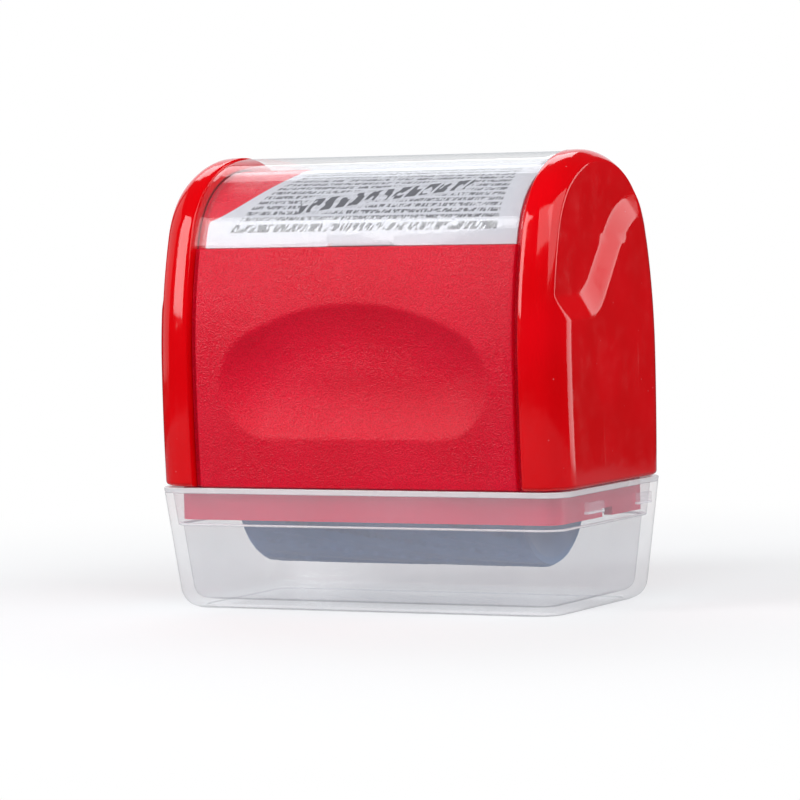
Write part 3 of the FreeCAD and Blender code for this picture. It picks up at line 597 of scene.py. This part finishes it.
# Plain plastics: dark colour, light colour, roughness from and to.
PLASTIC_FINISHES = {
    "white_acetal": (rgb(0.74, 0.74, 0.72), rgb(0.82, 0.82, 0.80), 0.28, 0.42),
    "inked_acetal": (rgb(0.11, 0.22, 0.42), rgb(0.18, 0.31, 0.52), 0.28, 0.42),
    "black_plastic": (rgb(0.012, 0.012, 0.013), rgb(0.022, 0.022, 0.024), 0.35, 0.5),
}
# Metals: dark colour, light colour, stretch of the brushing, roughness from and to.
METAL_FINISHES = {
    "zinc_steel": (rgb(0.55, 0.56, 0.60), rgb(0.70, 0.71, 0.73), (1, 1, 0.1), 0.22, 0.36),
    "steel_rod": (rgb(0.52, 0.52, 0.53), rgb(0.62, 0.62, 0.63), (0.05, 1, 1), 0.16, 0.3),
}
MATERIALS = {
    "textured_red": make_textured_red(),
    "gloss_red": make_gloss_red(),
    "satin_red": make_satin_red(),
    "label_paper": make_label_paper(),
    "printing_rubber": make_rubber(),
    "ink_felt": make_felt(),
}
for maker, finishes in (
    (make_clear, CLEAR_FINISHES),
    (make_plastic, PLASTIC_FINISHES),
    (make_metal, METAL_FINISHES),
):
    for name, values in finishes.items():
        MATERIALS[name] = maker(name, *values)

# ---- end covers

COVER_ROUND = 5.4
COVER_WALL = 1.8
COVER_LIP = 0.7
SEAM_ROUND = 0.25
DISH_DEPTH = 1.6
DISH_RAMP = 4.1
DISH_BLEND = 3.0
DISH_FLAT_BLEND = 0.12
EDGE_BLEND = 0.14
DISH_LOW = 47.5
DISH_BEND = (-5.5, 47.5)
DISH_KNEE = (7.0, 62.0)
DISH_FAR = (30.6, 68.0)
END_DRAFT = 0.005
ROUND_STEPS = (0, 7, 14, 21, 28, 34, 38, 41, 43, 45, 46.5, 48, 50, 53, 57, 62, 69, 76, 83, 90)


def above_line(point, start, end):
    """Distance of a point to the upper left of the line from start to end."""
    run = Vector(end) - Vector(start)
    gap = Vector(point) - Vector(start)
    return (run.x * gap.y - run.y * gap.x) / run.length


def dish_surface(across, up):
    """How far out the dished thumb rest lies at a place on the end face."""
    level = up - DISH_LOW
    steep = above_line((across, up), DISH_BEND, DISH_KNEE)
    back = above_line((across, up), DISH_KNEE, DISH_FAR)
    inside = soft_min(level, soft_max(steep, back, DISH_BLEND), DISH_BLEND)
    ramp = soft_min(inside / DISH_RAMP, 1.0, DISH_FLAT_BLEND)
    return HALF_WIDTH - DISH_DEPTH * ramp


def end_surface(out, across, up):
    """The outer x of the end cover where its plain rounded form would be at out."""
    drafted = out - END_DRAFT * (up - BODY_BASE) * smooth((out - COVER_START) / COVER_ROUND)
    lip = rounding(up - BODY_BASE, COVER_LIP) * smooth((out - COVER_START) / COVER_ROUND)
    return soft_min(drafted - lip, dish_surface(across, up), EDGE_BLEND)


def inner_surface(out, across, up):
    """The inner x of the end cover, a wall's thickness under the dish."""
    return min(out, dish_surface(across, up) - COVER_WALL)


def foot_lean(base, sink):
    """The lean at which the flank, moved inwards by sink, comes down to a height."""
    return UPRIGHT + math.asin((WIDEST - base) / (FLANK_RADIUS - sink))


def body_point(lean, sink):
    """The outline point for a row, with every row's last lean brought to the body's base."""
    over = abs(lean) - UPRIGHT
    if over > 0:
        share = over / (foot_lean(BODY_BASE, 0.0) - UPRIGHT)
        lean = math.copysign(UPRIGHT + share * (foot_lean(BODY_BASE, sink) - UPRIGHT), lean)
    return outline(lean, sink)


def full_row(half):
    """A row's front half, the way across the end face, and its back half."""
    out, width, up = half[-1]
    middle = [(out, share * width, up) for share in spread(-1.0, 1.0, 1 / 36)[1:-1]]
    return [(out, -across, up) for out, across, up in half] + middle + half[::-1]


def make_end_cover(name, side):
    """A glossy arched end with a rounded corner, a dished thumb rest and a thin wall."""
    rows = walk(0.0, foot_lean(BODY_BASE + COVER_LIP, 0.0), 0.42)
    rows += [foot_lean(BODY_BASE + gap, 0.0) for gap in (0.42, 0.22, 0.08, 0.0)]
    flat_x = HALF_WIDTH - COVER_ROUND
    section = [(COVER_START, SEAM_ROUND, 0.0), (COVER_START + 0.07, 0.08, 0.0)]
    section += [(COVER_START + SEAM_ROUND, 0.0, 0.0), ((COVER_START + flat_x) / 2, 0.0, 0.0)]
    for angle in ROUND_STEPS:
        turn = math.radians(angle)
        out = flat_x + COVER_ROUND * math.sin(turn)
        section.append((out, COVER_ROUND * (1 - math.cos(turn)), turn))
    outer, inner = [], []
    for lean in rows:
        drop = rounding(outline(lean)[1] - BODY_BASE, COVER_LIP)
        outer_half, inner_half = [], []
        for out, sink, turn in section:
            outer_half.append((out, *body_point(lean, sink + drop)))
            deep = sink + COVER_WALL * math.cos(turn)
            inner_half.append((out - COVER_WALL * math.sin(turn), *body_point(lean, deep)))
        outer.append([(side * end_surface(*p), p[1], p[2]) for p in full_row(outer_half)])
        inner.append([(side * inner_surface(*p), p[1], p[2]) for p in full_row(inner_half)])
    return make_shell(name, outer, inner, folded=True, smooth_angle=50.0)


# ---- housing shell

PANEL_SINK = 0.7
GROOVE_SINK = 1.7
DECK_SINK = 2.3
SHELL_INNER_SINK = 3.8
PANEL_HALF = SHELL_HALF - 1.1
PANEL_ROUND = 0.22
GRIP_HALF = 24.5
GRIP_LOW = 28.7
GRIP_HIGH = 50.7
GRIP_CORNER = 9.0
GRIP_BOWL = 2.1
GRIP_GRID = 0.46
WALL_GRID = 1.2
CROWN_STEP = 0.07

GRIP_OUT = GRIP_HALF - GRIP_CORNER
GRIP_UP = GRIP_LOW + GRIP_CORNER
GRIP_RISE = GRIP_HIGH - GRIP_UP
DOME_RADIUS = (GRIP_OUT ** 2 + GRIP_RISE ** 2 - GRIP_CORNER ** 2) / (2 * (GRIP_RISE - GRIP_CORNER))
DOME_UP = GRIP_HIGH - DOME_RADIUS


def grip_inside(along, up):
    """How far inside the grip's outline a place on the wall lies; negative outside."""
    along = abs(along)
    from_dome = Vector((along, up - DOME_UP))
    beyond = from_dome.x * (GRIP_UP - DOME_UP) > from_dome.y * GRIP_OUT
    if along > GRIP_OUT and beyond:
        return GRIP_CORNER - math.hypot(along - GRIP_OUT, up - GRIP_UP)
    return min(DOME_RADIUS - from_dome.length, up - GRIP_LOW)


def grip_depth(along, up):
    """The scoop of the finger grip: a bowl that starts with a crisp edge."""
    return GRIP_BOWL * (1 - (1 - clamp(grip_inside(along, up) / GRIP_CORNER)) ** 2)


def shell_columns():
    """Columns over the shell: a groove at each end and a close grid over the panel between."""
    edge = [SHELL_HALF, PANEL_HALF + 0.04, PANEL_HALF, PANEL_HALF - 0.1, PANEL_HALF - PANEL_ROUND]
    grip_reach = GRIP_HALF + 0.5
    near = spread(PANEL_HALF - PANEL_ROUND, grip_reach, 0.9)[1:-1]
    middle = spread(-grip_reach, grip_reach, GRIP_GRID)
    return [-x for x in edge + near] + middle + (edge + near)[::-1]


def wall_sink(along):
    """How far the wall lies inside the outline: a flat panel, and a groove beside each cover."""
    if abs(along) > PANEL_HALF + 0.02:
        return GROOVE_SINK
    return PANEL_SINK + rounding(PANEL_HALF - abs(along), PANEL_ROUND)


def shell_rows():
    """Half the shell's rows as (height or lean, zone), from the foot of a wall to the crown."""
    heights = [BODY_BASE, BODY_BASE + 0.08, BODY_BASE + 0.3]
    heights += spread(BODY_BASE + 0.3, GRIP_LOW - 0.4, WALL_GRID)[1:-1]
    heights += spread(GRIP_LOW - 0.4, GRIP_HIGH + 0.4, GRIP_GRID)
    heights += spread(GRIP_HIGH + 0.4, LEDGE - 0.3, WALL_GRID)[1:]
    heights += [LEDGE - 0.1]
    rows = [(height, "wall") for height in heights]
    rows += [(LEDGE, "edge"), (LEDGE, "deck")]
    start = lean_at(LEDGE, DECK_SINK)
    return rows + [(lean, "crown") for lean in spread(start, 0.0, CROWN_STEP)[1:]]


def shell_point(along, place, zone, facing):
    """A point of the shell's outer face; facing is -1 in front and 1 at the back."""
    if zone == "crown":
        lean, sink = place, DECK_SINK
    elif zone == "deck":
        lean, sink = lean_at(place, DECK_SINK), DECK_SINK
    else:
        sink = wall_sink(along) + rounding(place - BODY_BASE, 0.3) * 0.6
        if zone == "edge":
            sink = min(sink + 0.2, DECK_SINK)
        lean = lean_at(place, sink)
        if abs(along) < GRIP_HALF and GRIP_LOW < place < GRIP_HIGH:
            sink += grip_depth(along, place)
    across, up = outline(facing * lean, sink)
    return along, across, up


def make_housing_shell():
    """The textured middle of the housing: two walls with finger grips and the bed for the label."""
    columns = shell_columns()
    half = shell_rows()
    rows = [(*row, -1) for row in half] + [(*row, 1) for row in half[-2::-1]]
    outer, inner = [], []
    for place, zone, facing in rows:
        outer.append([shell_point(along, place, zone, facing) for along in columns])
        lean = place if zone == "crown" else lean_at(place, SHELL_INNER_SINK)
        across, up = outline(facing * lean, SHELL_INNER_SINK)
        inner.append([(along, across, up) for along in columns])
    return make_shell("housing_shell_skin", outer, inner, smooth_angle=50.0)


# ---- window and label

WINDOW_SINK = 0.25
WINDOW_WALL = 1.2
WINDOW_RIB = 1.2
WINDOW_RIB_SINK = 2.24
WINDOW_PLAY = 0.02
WINDOW_ROUND = 0.2
WINDOW_GRID = 3.0
WINDOW_ROWS = 44
NOTCH = (-5.0, 7.0)
NOTCH_RISE = 0.6
NOTCH_CUT = 0.7
LABEL_SINK = 1.95
LABEL_WALL = 0.3
LABEL_STEP = 0.5
LABEL_COLUMNS = 40
THUMB_PLACE = -30.9
THUMB_RADIUS = 15.9


def notch_rise(along):
    """How far the window's front edge rises at the pry notch."""
    inside = min(along - NOTCH[0], NOTCH[1] - along)
    return NOTCH_RISE * clamp(inside / NOTCH_RISE)


def make_window():
    """The clear arched cover: rounded edges, a rib under each end and a pry notch in front."""
    half = SHELL_HALF - WINDOW_PLAY
    rib = half - WINDOW_RIB
    ends = [half, half - 0.06, half - WINDOW_ROUND, rib + 0.02, rib, rib - 0.4]
    start, end = NOTCH
    notch = [start - 0.3, start, start + NOTCH_RISE, end - NOTCH_RISE, end, end + 0.3]
    left = spread(-ends[-1], notch[0], WINDOW_GRID)[1:-1]
    right = spread(notch[-1], ends[-1], WINDOW_GRID)[1:-1]
    columns = [-x for x in ends] + left + notch + right + ends[::-1]
    shares = spread(0.0, 1.0, 1 / WINDOW_ROWS)
    shares[-1:] = [0.992, 0.997, 1.0]
    outer, inner = [], []
    for share in [-s for s in shares[::-1]] + shares[1:]:
        outer_row, inner_row = [], []
        for along in columns:
            base = WINDOW_BASE + (notch_rise(along) if share < 0 else 0.0)
            sink = WINDOW_SINK + rounding(half - abs(along), WINDOW_ROUND)
            under = WINDOW_SINK + WINDOW_WALL
            if abs(along) > rib:
                under = WINDOW_RIB_SINK
            sink += 0.16 * smooth((abs(share) - 0.992) / 0.008)
            outer_row.append((along, *outline(share * lean_at(base, sink), sink)))
            inner_row.append((along, *outline(share * lean_at(base, under), under)))
        outer.append(outer_row)
        inner.append(inner_row)
    return make_shell("window_skin", outer, inner, smooth_angle=45.0)


def thumb_edge(across):
    """Where the label starts on the left: its straight end or the round thumb notch."""
    if abs(across) >= THUMB_RADIUS:
        return label_low.x
    return max(label_low.x, THUMB_PLACE + math.sqrt(THUMB_RADIUS ** 2 - across ** 2))


def make_label():
    """The printed card, cut back behind the pry notch. Its flat print map is in millimetres."""
    lowest = lean_at(WINDOW_BASE, LABEL_SINK)
    leans = walk(0.0, lowest, LABEL_STEP)
    leans = [-lean for lean in leans[::-1]] + leans[1:]
    lengths = [0.0]
    for before, after in zip(leans, leans[1:]):
        step = math.dist(outline(before, LABEL_SINK), outline(after, LABEL_SINK))
        lengths.append(lengths[-1] + step)
    outer, inner = [], []
    for lean in leans:
        start = thumb_edge(outline(lean, LABEL_SINK)[0])
        columns = spread(start, label_high.x, (label_high.x - start) / LABEL_COLUMNS)
        cuts = [NOTCH_CUT * notch_rise(along) if lean == -lowest else 0.0 for along in columns]
        rows = [-lean_at(WINDOW_BASE + cut, LABEL_SINK) if cut else lean for cut in cuts]
        outer.append([(along, *outline(row, LABEL_SINK)) for along, row in zip(columns, rows)])
        under = LABEL_SINK + LABEL_WALL
        inner.append([(along, *outline(row, under)) for along, row in zip(columns, rows)])
    piece = make_shell("label_print", outer, inner)
    layer = piece.data.uv_layers.new(name="print")
    for loop in piece.data.loops:
        along, across, up = piece.data.vertices[loop.vertex_index].co / MM
        layer.data[loop.index].uv = (along, print_height(across, up, leans, lengths))
    return piece


def print_height(across, up, leans, lengths):
    """Distance along the arch from the label's front edge, in millimetres."""
    lean = math.copysign(lean_at(up, LABEL_SINK), across)
    share = 0
    while share < len(leans) - 2 and leans[share + 1] < lean:
        share += 1
    part = (lean - leans[share]) / (leans[share + 1] - leans[share])
    return lengths[share] + clamp(part) * (lengths[share + 1] - lengths[share])


# ---- print roller and inking

SLEEVE_RELIEF = 0.4
SLEEVE_WALL = 1.6
SLEEVE_AROUND = 288
RELIEF_ROWS = 16
RELIEF_TWIST = 0.035
RELIEF_TEETH = 2.6
RELIEF_EDGE = 0.35
FOAM_BORE = 3.55
FOAM_WEAR = 0.10
FOAM_ROUND = 1.2
FOAM_AROUND = 120


def sleeve_radius(along, turn, radius):
    """The sleeve's surface: raised slanted bands with ragged ends, on a slightly smaller ground."""
    lean = turn * RELIEF_ROWS / math.tau + along * RELIEF_TWIST
    band = math.cos(math.tau * lean)
    tooth = math.sin(along * RELIEF_TEETH + math.floor(lean) * 1.7)
    raised = smooth((band + RELIEF_EDGE + RELIEF_EDGE * tooth) / RELIEF_EDGE)
    return radius - SLEEVE_RELIEF * (1 - raised)


def make_sleeve():
    """The rubber printing sleeve as a tube whose outside carries the worn relief."""
    radius = (sleeve_high.z - sleeve_low.z) / 2
    centre = (sleeve_high.z + sleeve_low.z) / 2
    half = sleeve_high.x
    ground = radius - SLEEVE_RELIEF
    turns = full_turn(SLEEVE_AROUND)
    stations = [-half, -half + 0.15] + spread(-half + 0.4, half - 0.4, 0.45) + [half - 0.15, half]
    loops = []
    for along in stations:
        fade = smooth((half - abs(along)) / 1.1)
        edge = 0.35 * rounding(half - abs(along), 0.4)
        loop = []
        for turn in turns:
            ragged = 0.6 * noise.noise((math.cos(turn) * 4, math.sin(turn) * 4, along * 0.8))
            raised = sleeve_radius(along, turn, radius) - ground
            reach = ground + raised * clamp(fade + ragged * (1 - fade)) - edge
            loop.append((along, reach * math.sin(turn), centre + reach * math.cos(turn)))
        loops.append(loop)
    loops += [circle(along, radius - SLEEVE_WALL, centre, turns) for along in (half, -half)]
    return make_tube("print_sleeve_rubber", loops)


def make_foam():
    """The foam ink roller: soft at its ends and pocked by wear."""
    radius = (foam_high.z - foam_low.z) / 2
    centre = (foam_high.z + foam_low.z) / 2
    half = foam_high.x
    ends = [half, half - 0.2, half - 0.6]
    stations = [-x for x in ends] + spread(-half + 1.2, half - 1.2, 0.8) + ends[::-1]
    turns = full_turn(FOAM_AROUND)
    loops = []
    for along in stations:
        loop = []
        for turn in turns:
            pocked = noise.noise((along * 0.9, math.cos(turn) * 5, math.sin(turn) * 5))
            worn = FOAM_WEAR * (1 - clamp(pocked, -1, 1))
            reach = radius - worn - rounding(half - abs(along), FOAM_ROUND)
            loop.append((along, reach * math.sin(turn), centre + reach * math.cos(turn)))
        loops.append(loop)
    loops += [circle(along, FOAM_BORE, centre, turns) for along in (half, -half)]
    return make_tube("ink_foam_roll", loops)


SPRING_TURNS = 5.5
SPRING_STEPS = 26
WIRE_RADIUS = 0.3
WIRE_STEPS = 10


def make_coil(name, node):
    """A compression spring with closed, flattened end turns, in the space of its CAD node."""
    low, high = corners_mm(node)
    centre_x = (low.x + high.x) / 2
    radius = (high.x - low.x) / 2 - WIRE_RADIUS
    first, last = low.z + WIRE_RADIUS, high.z - WIRE_RADIUS
    count = int(SPRING_TURNS * SPRING_STEPS)
    loops = []
    for step in range(count + 1):
        share = step / count
        active = (share - 0.12) / 0.76
        rise = smooth(active) * 0.35 + clamp(active) * 0.65
        turn = math.tau * SPRING_TURNS * share
        up = first + (last - first) * rise
        outward = Vector((math.cos(turn), math.sin(turn), 0.0))
        centre = Vector((centre_x, 0.0, up)) + outward * radius
        loop = []
        for angle in full_turn(WIRE_STEPS):
            around = outward * math.cos(angle) + Vector((0, 0, math.sin(angle)))
            loop.append(tuple(centre + WIRE_RADIUS * around))
        loops.append(loop)
    return make_loft(name, loops, smooth_angle=60.0)


# ---- dust cap

CAP_TOP = cap_high.z
CAP_HALF_X = cap_high.x + 0.12
CAP_HALF_Y = cap_high.y + 0.7
CAP_TAPER_X = 1.4
CAP_TAPER_Y = 3.4
CAP_CORNER = 4.2
CAP_END_ROUND = 3.0
CAP_SIDE_ROUND = 0.8
CAP_LEDGE = 14.0
CAP_RIM = 0.9
CAP_RIM_WALL = 1.2
CAP_WAIST = 8.0
CAP_SHOULDER = 17.0
CAP_RECESS = 0.35
CAP_WALL = 1.9
CAP_FLOOR = 1.3
CAP_INNER_END = 2.2
CAP_INNER_SIDE = 0.9
CORNER_STEPS = 12
RING_ROUND = 0.12


def cap_loop(height, inset=0.0, shrink_x=0.0, shrink_y=0.0):
    """A rounded rectangle of the cap at a height, inset from its flared outside."""
    fall = 1 - height / CAP_TOP
    half_x = CAP_HALF_X - CAP_TAPER_X * fall - inset - shrink_x
    half_y = CAP_HALF_Y - CAP_TAPER_Y * fall - inset - shrink_y
    corner = max(CAP_CORNER - inset * 0.6, 0.4)
    loop = []
    for quarter, (sx, sy) in enumerate(((1, 1), (-1, 1), (-1, -1), (1, -1))):
        centre_x, centre_y = sx * (half_x - corner), sy * (half_y - corner)
        for step in range(CORNER_STEPS + 1):
            turn = math.radians(90 * (quarter + step / CORNER_STEPS))
            x, y = centre_x + corner * math.cos(turn), centre_y + corner * math.sin(turn)
            loop.append((x, y, height))
    return loop


def make_cap():
    """The clear dust cap: flared walls, round lower ends, a stepped ledge and a soft rim."""
    foot = ((CAP_RECESS, 5.0), (CAP_RECESS, 3.6), (0.0, 3.2))
    loops = [cap_loop(height, inset) for height, inset in foot]
    loops.append(cap_loop(0.0, shrink_x=2.4, shrink_y=0.6))
    for height in (0.12, 0.35, 0.7, 1.1, 1.6, 2.2, 3.0):
        narrow = rounding(height, CAP_END_ROUND)
        loops.append(cap_loop(height, shrink_x=narrow, shrink_y=rounding(height, CAP_SIDE_ROUND)))
    skirt = (CAP_WAIST, CAP_LEDGE, CAP_SHOULDER, CAP_TOP - CAP_RIM)
    loops += [cap_loop(height) for height in skirt]
    loops.append(cap_loop(CAP_TOP - CAP_RIM, CAP_RIM_WALL))
    loops += [cap_loop(CAP_SHOULDER, CAP_RIM_WALL), cap_loop(CAP_LEDGE, CAP_RIM_WALL)]
    loops += [cap_loop(CAP_LEDGE, CAP_WALL - 0.1), cap_loop(CAP_LEDGE - 0.15, CAP_WALL)]
    loops.append(cap_loop(CAP_WAIST, CAP_WALL))
    for height in (3.6, 3.0, 2.4, 1.9, 1.5):
        lift = height - CAP_FLOOR
        narrow = rounding(lift, CAP_INNER_END)
        shallow = rounding(lift, CAP_INNER_SIDE)
        loops.append(cap_loop(height, CAP_WALL, shrink_x=narrow, shrink_y=shallow))
    loops.append(cap_loop(CAP_FLOOR, CAP_WALL, shrink_x=2.0, shrink_y=CAP_INNER_SIDE))
    loops.append(cap_loop(CAP_FLOOR, CAP_WALL + 4.0))
    return make_loft("dust_cap_skin", loops, smooth_angle=40.0)


def make_ring(name, low, high, outer, inner):
    """A rounded band round the cap between two heights and two insets."""
    soft = RING_ROUND
    foot, head = low + soft, high - soft
    section = ((low, outer + soft), (foot, outer), (head, outer), (high, outer + soft))
    section += ((high, inner - soft), (head, inner), (foot, inner), (low, inner - soft))
    return make_tube(name, [cap_loop(*place) for place in section], smooth_angle=30.0)


RIBS = {"front": (-8.6, -2.4), "back": (11.8, 16.8)}
RIB_LOW = 15.9
RIB_HIGH = 17.8
RIB_RISE = 0.3
RIB_EDGE = 0.35
RIB_EDGE_RISE = RIB_RISE + 0.12
RIB_BITE = 0.5
RIB_BEVEL = 0.1


def make_rib(name, side, start, end, high, rise):
    """A bar with sloping edges on the inside of the cap's end wall."""
    wall = CAP_HALF_X - CAP_TAPER_X * (1 - RIB_LOW / CAP_TOP) - CAP_RIM_WALL
    face = wall - rise
    loops = []
    for out, inset in ((wall + RIB_BITE, 0.0), (face + RIB_BEVEL, 0.0), (face, RIB_BEVEL)):
        bottom, top = RIB_LOW + inset, high - inset
        near, far = start + inset, end - inset
        corners = ((near, bottom), (far, bottom), (far, top), (near, top))
        loops.append([(side * out, y, z) for y, z in corners])
    return make_loft(name, loops)


# ---- the object


def dress_clear(piece, finish, *nodes):
    """Dress a clear piece of the dust cap, which casts no shadow."""
    dress(piece, MATERIALS[finish], "dust_cap", "clear_cap", *nodes)
    piece.visible_shadow = False


for name, side in (("right_end_cover", 1), ("left_end_cover", -1)):
    cover = make_end_cover(name + "_skin", side)
    dress(cover, MATERIALS["gloss_red"], "housing", "gloss_red", name)
shell = make_housing_shell()
dress(shell, MATERIALS["textured_red"], "housing", "textured_red", "housing_shell")
window = make_window()
dress(window, MATERIALS["clear_window"], "top_window", "clear_window", "top_window")
window.visible_shadow = False
dress(make_label(), MATERIALS["label_paper"], "housing", "label_paper", "label_card")
sleeve = make_sleeve()
dress(sleeve, MATERIALS["printing_rubber"], "print_roller", "printing_rubber", "print_sleeve")
foam = dress(make_foam(), MATERIALS["ink_felt"], "ink_roller", "ink_felt", "ink_foam")
dress_clear(make_cap(), "clear_cap", "dust_cap")
for side, side_name in ((1, "right"), (-1, "left")):
    for place_name, (start, end) in RIBS.items():
        ending = f"{side_name}_{place_name}"
        rib = make_rib("cap_rib_" + ending, side, start, end, RIB_HIGH, RIB_RISE)
        dress_clear(rib, "clear_cap")
        # A thin bar at the foot of each rib in the whiter clear finish: a painted highlight line
        # along the rib's edge.
        edge_top = RIB_LOW + RIB_EDGE
        edge = make_rib("cap_rib_edge_" + ending, side, start, end, edge_top, RIB_EDGE_RISE)
        dress_clear(edge, "frosted_edge")
# Bands at the cap's rim and ledge in the whiter clear finish: painted highlight lines where the rim
# and the ledge catch the light.
rings = (
    ("cap_rim_ring", CAP_TOP - CAP_RIM - 0.02, CAP_TOP, 0.02, CAP_RIM_WALL - 0.02),
    ("cap_ledge_ring", CAP_LEDGE - 0.2, CAP_LEDGE + 0.15, CAP_RIM_WALL + 0.02, CAP_WALL + 0.05),
)
for ring in rings:
    dress_clear(make_ring(*ring), "frosted_edge")
for name in ("right_spring", "left_spring"):
    coil = make_coil(name + "_coil", name)
    dress(coil, MATERIALS["steel_rod"], "housing", "steel_rod", name)
    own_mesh(coil)

CARRIED_OVER = {
    "roller_frame": "satin_red",
    "right_bushing": "white_acetal",
    "left_bushing": "white_acetal",
    "spring_bridge": "black_plastic",
    "bridge_screws": "zinc_steel",
    "frame_screws": "zinc_steel",
    "roller_axle": "steel_rod",
    "roller_core": "white_acetal",
    "right_drum_flange": "inked_acetal",
    "left_drum_flange": "inked_acetal",
    "axle_washers": "zinc_steel",
    "axle_clips": "zinc_steel",
    "ink_core": "black_plastic",
    "ink_carriage": "black_plastic",
}
for name, finish in CARRIED_OVER.items():
    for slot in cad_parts[name].material_slots:
        slot.material = MATERIALS[finish]

# ---- floor, light and camera

FLOOR_RADIUS = 350.0
FLOOR_UP = -0.05
FLOOR_AROUND = 96


def make_floor():
    """
    A pale round floor that brightens to the plain white of the backdrop at its rim.

    It is dim in reflections, so the red plastic keeps its colour near it. It stays under the
    dust cap, so the stamp is lifted out of a cap that stands on it.
    """
    radii = [1.0] + spread(40.0, 320.0, 40.0) + [FLOOR_RADIUS]
    turns = full_turn(FLOOR_AROUND)
    points = []
    for radius in radii:
        points += [(radius * math.cos(t), radius * math.sin(t), FLOOR_UP) for t in turns]
    faces = grid_faces(len(radii), FLOOR_AROUND, closed=True)
    faces.append(tuple(range(FLOOR_AROUND)))
    floor = make_piece("floor", points, faces, smooth_angle=60.0)
    n = Nodes("pale_floor")
    cloud = n.noise(0.004, detail=2.0)
    colour = n.mix(cloud, rgb(0.93, 0.95, 0.98), rgb(0.95, 0.97, 0.99))
    n.finish(colour, 0.9, Specular_IOR_Level=0.1)
    length = n.add("ShaderNodeVectorMath", operation="LENGTH")
    n.wire(n.place, length.inputs[0])
    rim = n.span(length.outputs["Value"], 0.05, 0.22, 0.45, 1.0)
    glow = n.add("ShaderNodeEmission")
    bright = n.blend(rim, n.shader.outputs["BSDF"], glow.outputs["Emission"])
    dim = n.add("ShaderNodeBsdfDiffuse")
    n.wire(rgb(0.32, 0.33, 0.36), dim.inputs["Color"])
    seen = n.add("ShaderNodeLightPath").outputs["Is Camera Ray"]
    n.wire(n.blend(seen, dim.outputs["BSDF"], bright), n.output.inputs["Surface"])
    floor.data.materials.append(n.material)
    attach(floor, "dust_cap")


WHITE = (1.0, 1.0, 1.0)
LIGHT_AIM = (0.0, 0.0, 0.04)
# Name, place in metres, width, height, watts and colour.
SOFTBOXES = (
    ("key_left", (-0.38, -0.46, 0.33), 0.25, 0.42, 2.5, WHITE),
    ("fill_front", (0.35, -0.75, 0.75), 0.8, 0.6, 4.2, WHITE),
    ("high_right", (0.75, -0.25, 0.60), 0.9, 0.7, 5.0, WHITE),
    ("back_right", (0.52, 0.54, 0.12), 0.34, 0.50, 1.4, WHITE),
    ("back_left", (-0.45, 0.75, 0.30), 0.9, 0.5, 1.4, (0.93, 0.96, 1.0)),
    ("overhead", (-0.34, 0.50, 0.58), 0.5, 0.24, 1.3, (0.95, 0.97, 1.0)),
    ("side_left", (-0.80, 0.0, 0.28), 0.6, 0.6, 0.8, WHITE),
)


def add_softbox(name, place, width, height, watts, colour):
    """A plain rectangular softbox turned to the object."""
    light = bpy.data.lights.new(name, "AREA")
    light.shape = "RECTANGLE"
    light.size = width
    light.size_y = height
    light.energy = watts
    light.color = colour
    lamp = bpy.data.objects.new(name, light)
    bpy.context.scene.collection.objects.link(lamp)
    lamp.location = place
    lamp.rotation_euler = (Vector(LIGHT_AIM) - Vector(place)).to_track_quat("-Z", "Y").to_euler()


def add_world():
    """A dim world that the camera sees as white."""
    world = bpy.data.worlds.new("studio")
    world.use_nodes = True
    tree = world.node_tree
    dim = tree.nodes["Background"]
    dim.inputs["Color"].default_value = rgb(0.92, 0.95, 1.0)
    dim.inputs["Strength"].default_value = 0.05
    white = tree.nodes.new("ShaderNodeBackground")
    white.inputs["Color"].default_value = rgb(1.0, 1.0, 1.0)
    path = tree.nodes.new("ShaderNodeLightPath")
    seen = tree.nodes.new("ShaderNodeMixShader")
    tree.links.new(path.outputs["Is Camera Ray"], seen.inputs["Fac"])
    tree.links.new(dim.outputs["Background"], seen.inputs[1])
    tree.links.new(white.outputs["Background"], seen.inputs[2])
    tree.links.new(seen.outputs["Shader"], tree.nodes["World Output"].inputs["Surface"])
    bpy.context.scene.world = world


AZIMUTH = math.radians(26.9)
ELEVATION = math.radians(2.53)
ROLL = math.radians(1.36)
CAMERA_DISTANCE = 0.701
CAMERA_AIM = (0.0, 0.0, 0.04054)
LENS = 188.7
SENSOR = 36.0
PICTURE = 800
SHIFT = (-8.5, -40.0)


def add_camera():
    """From the front right, almost level, through a long lens."""
    back = Vector(
        (
            math.sin(AZIMUTH) * math.cos(ELEVATION),
            -math.cos(AZIMUTH) * math.cos(ELEVATION),
            math.sin(ELEVATION),
        )
    )
    data = bpy.data.cameras.new("camera")
    data.lens = LENS
    data.sensor_width = SENSOR
    data.shift_x, data.shift_y = (shift / PICTURE for shift in SHIFT)
    data.clip_start = 0.05
    data.clip_end = 30.0
    camera = bpy.data.objects.new("camera", data)
    bpy.context.scene.collection.objects.link(camera)
    turned = (-back).to_track_quat("-Z", "Y").to_matrix() @ Matrix.Rotation(-ROLL, 3, "Z")
    camera.rotation_euler = turned.to_euler()
    camera.location = Vector(CAMERA_AIM) + back * CAMERA_DISTANCE
    bpy.context.scene.camera = camera


make_floor()
for softbox in SOFTBOXES:
    add_softbox(*softbox)
add_world()
add_camera()
bpy.context.scene.view_settings.view_transform = "Standard"
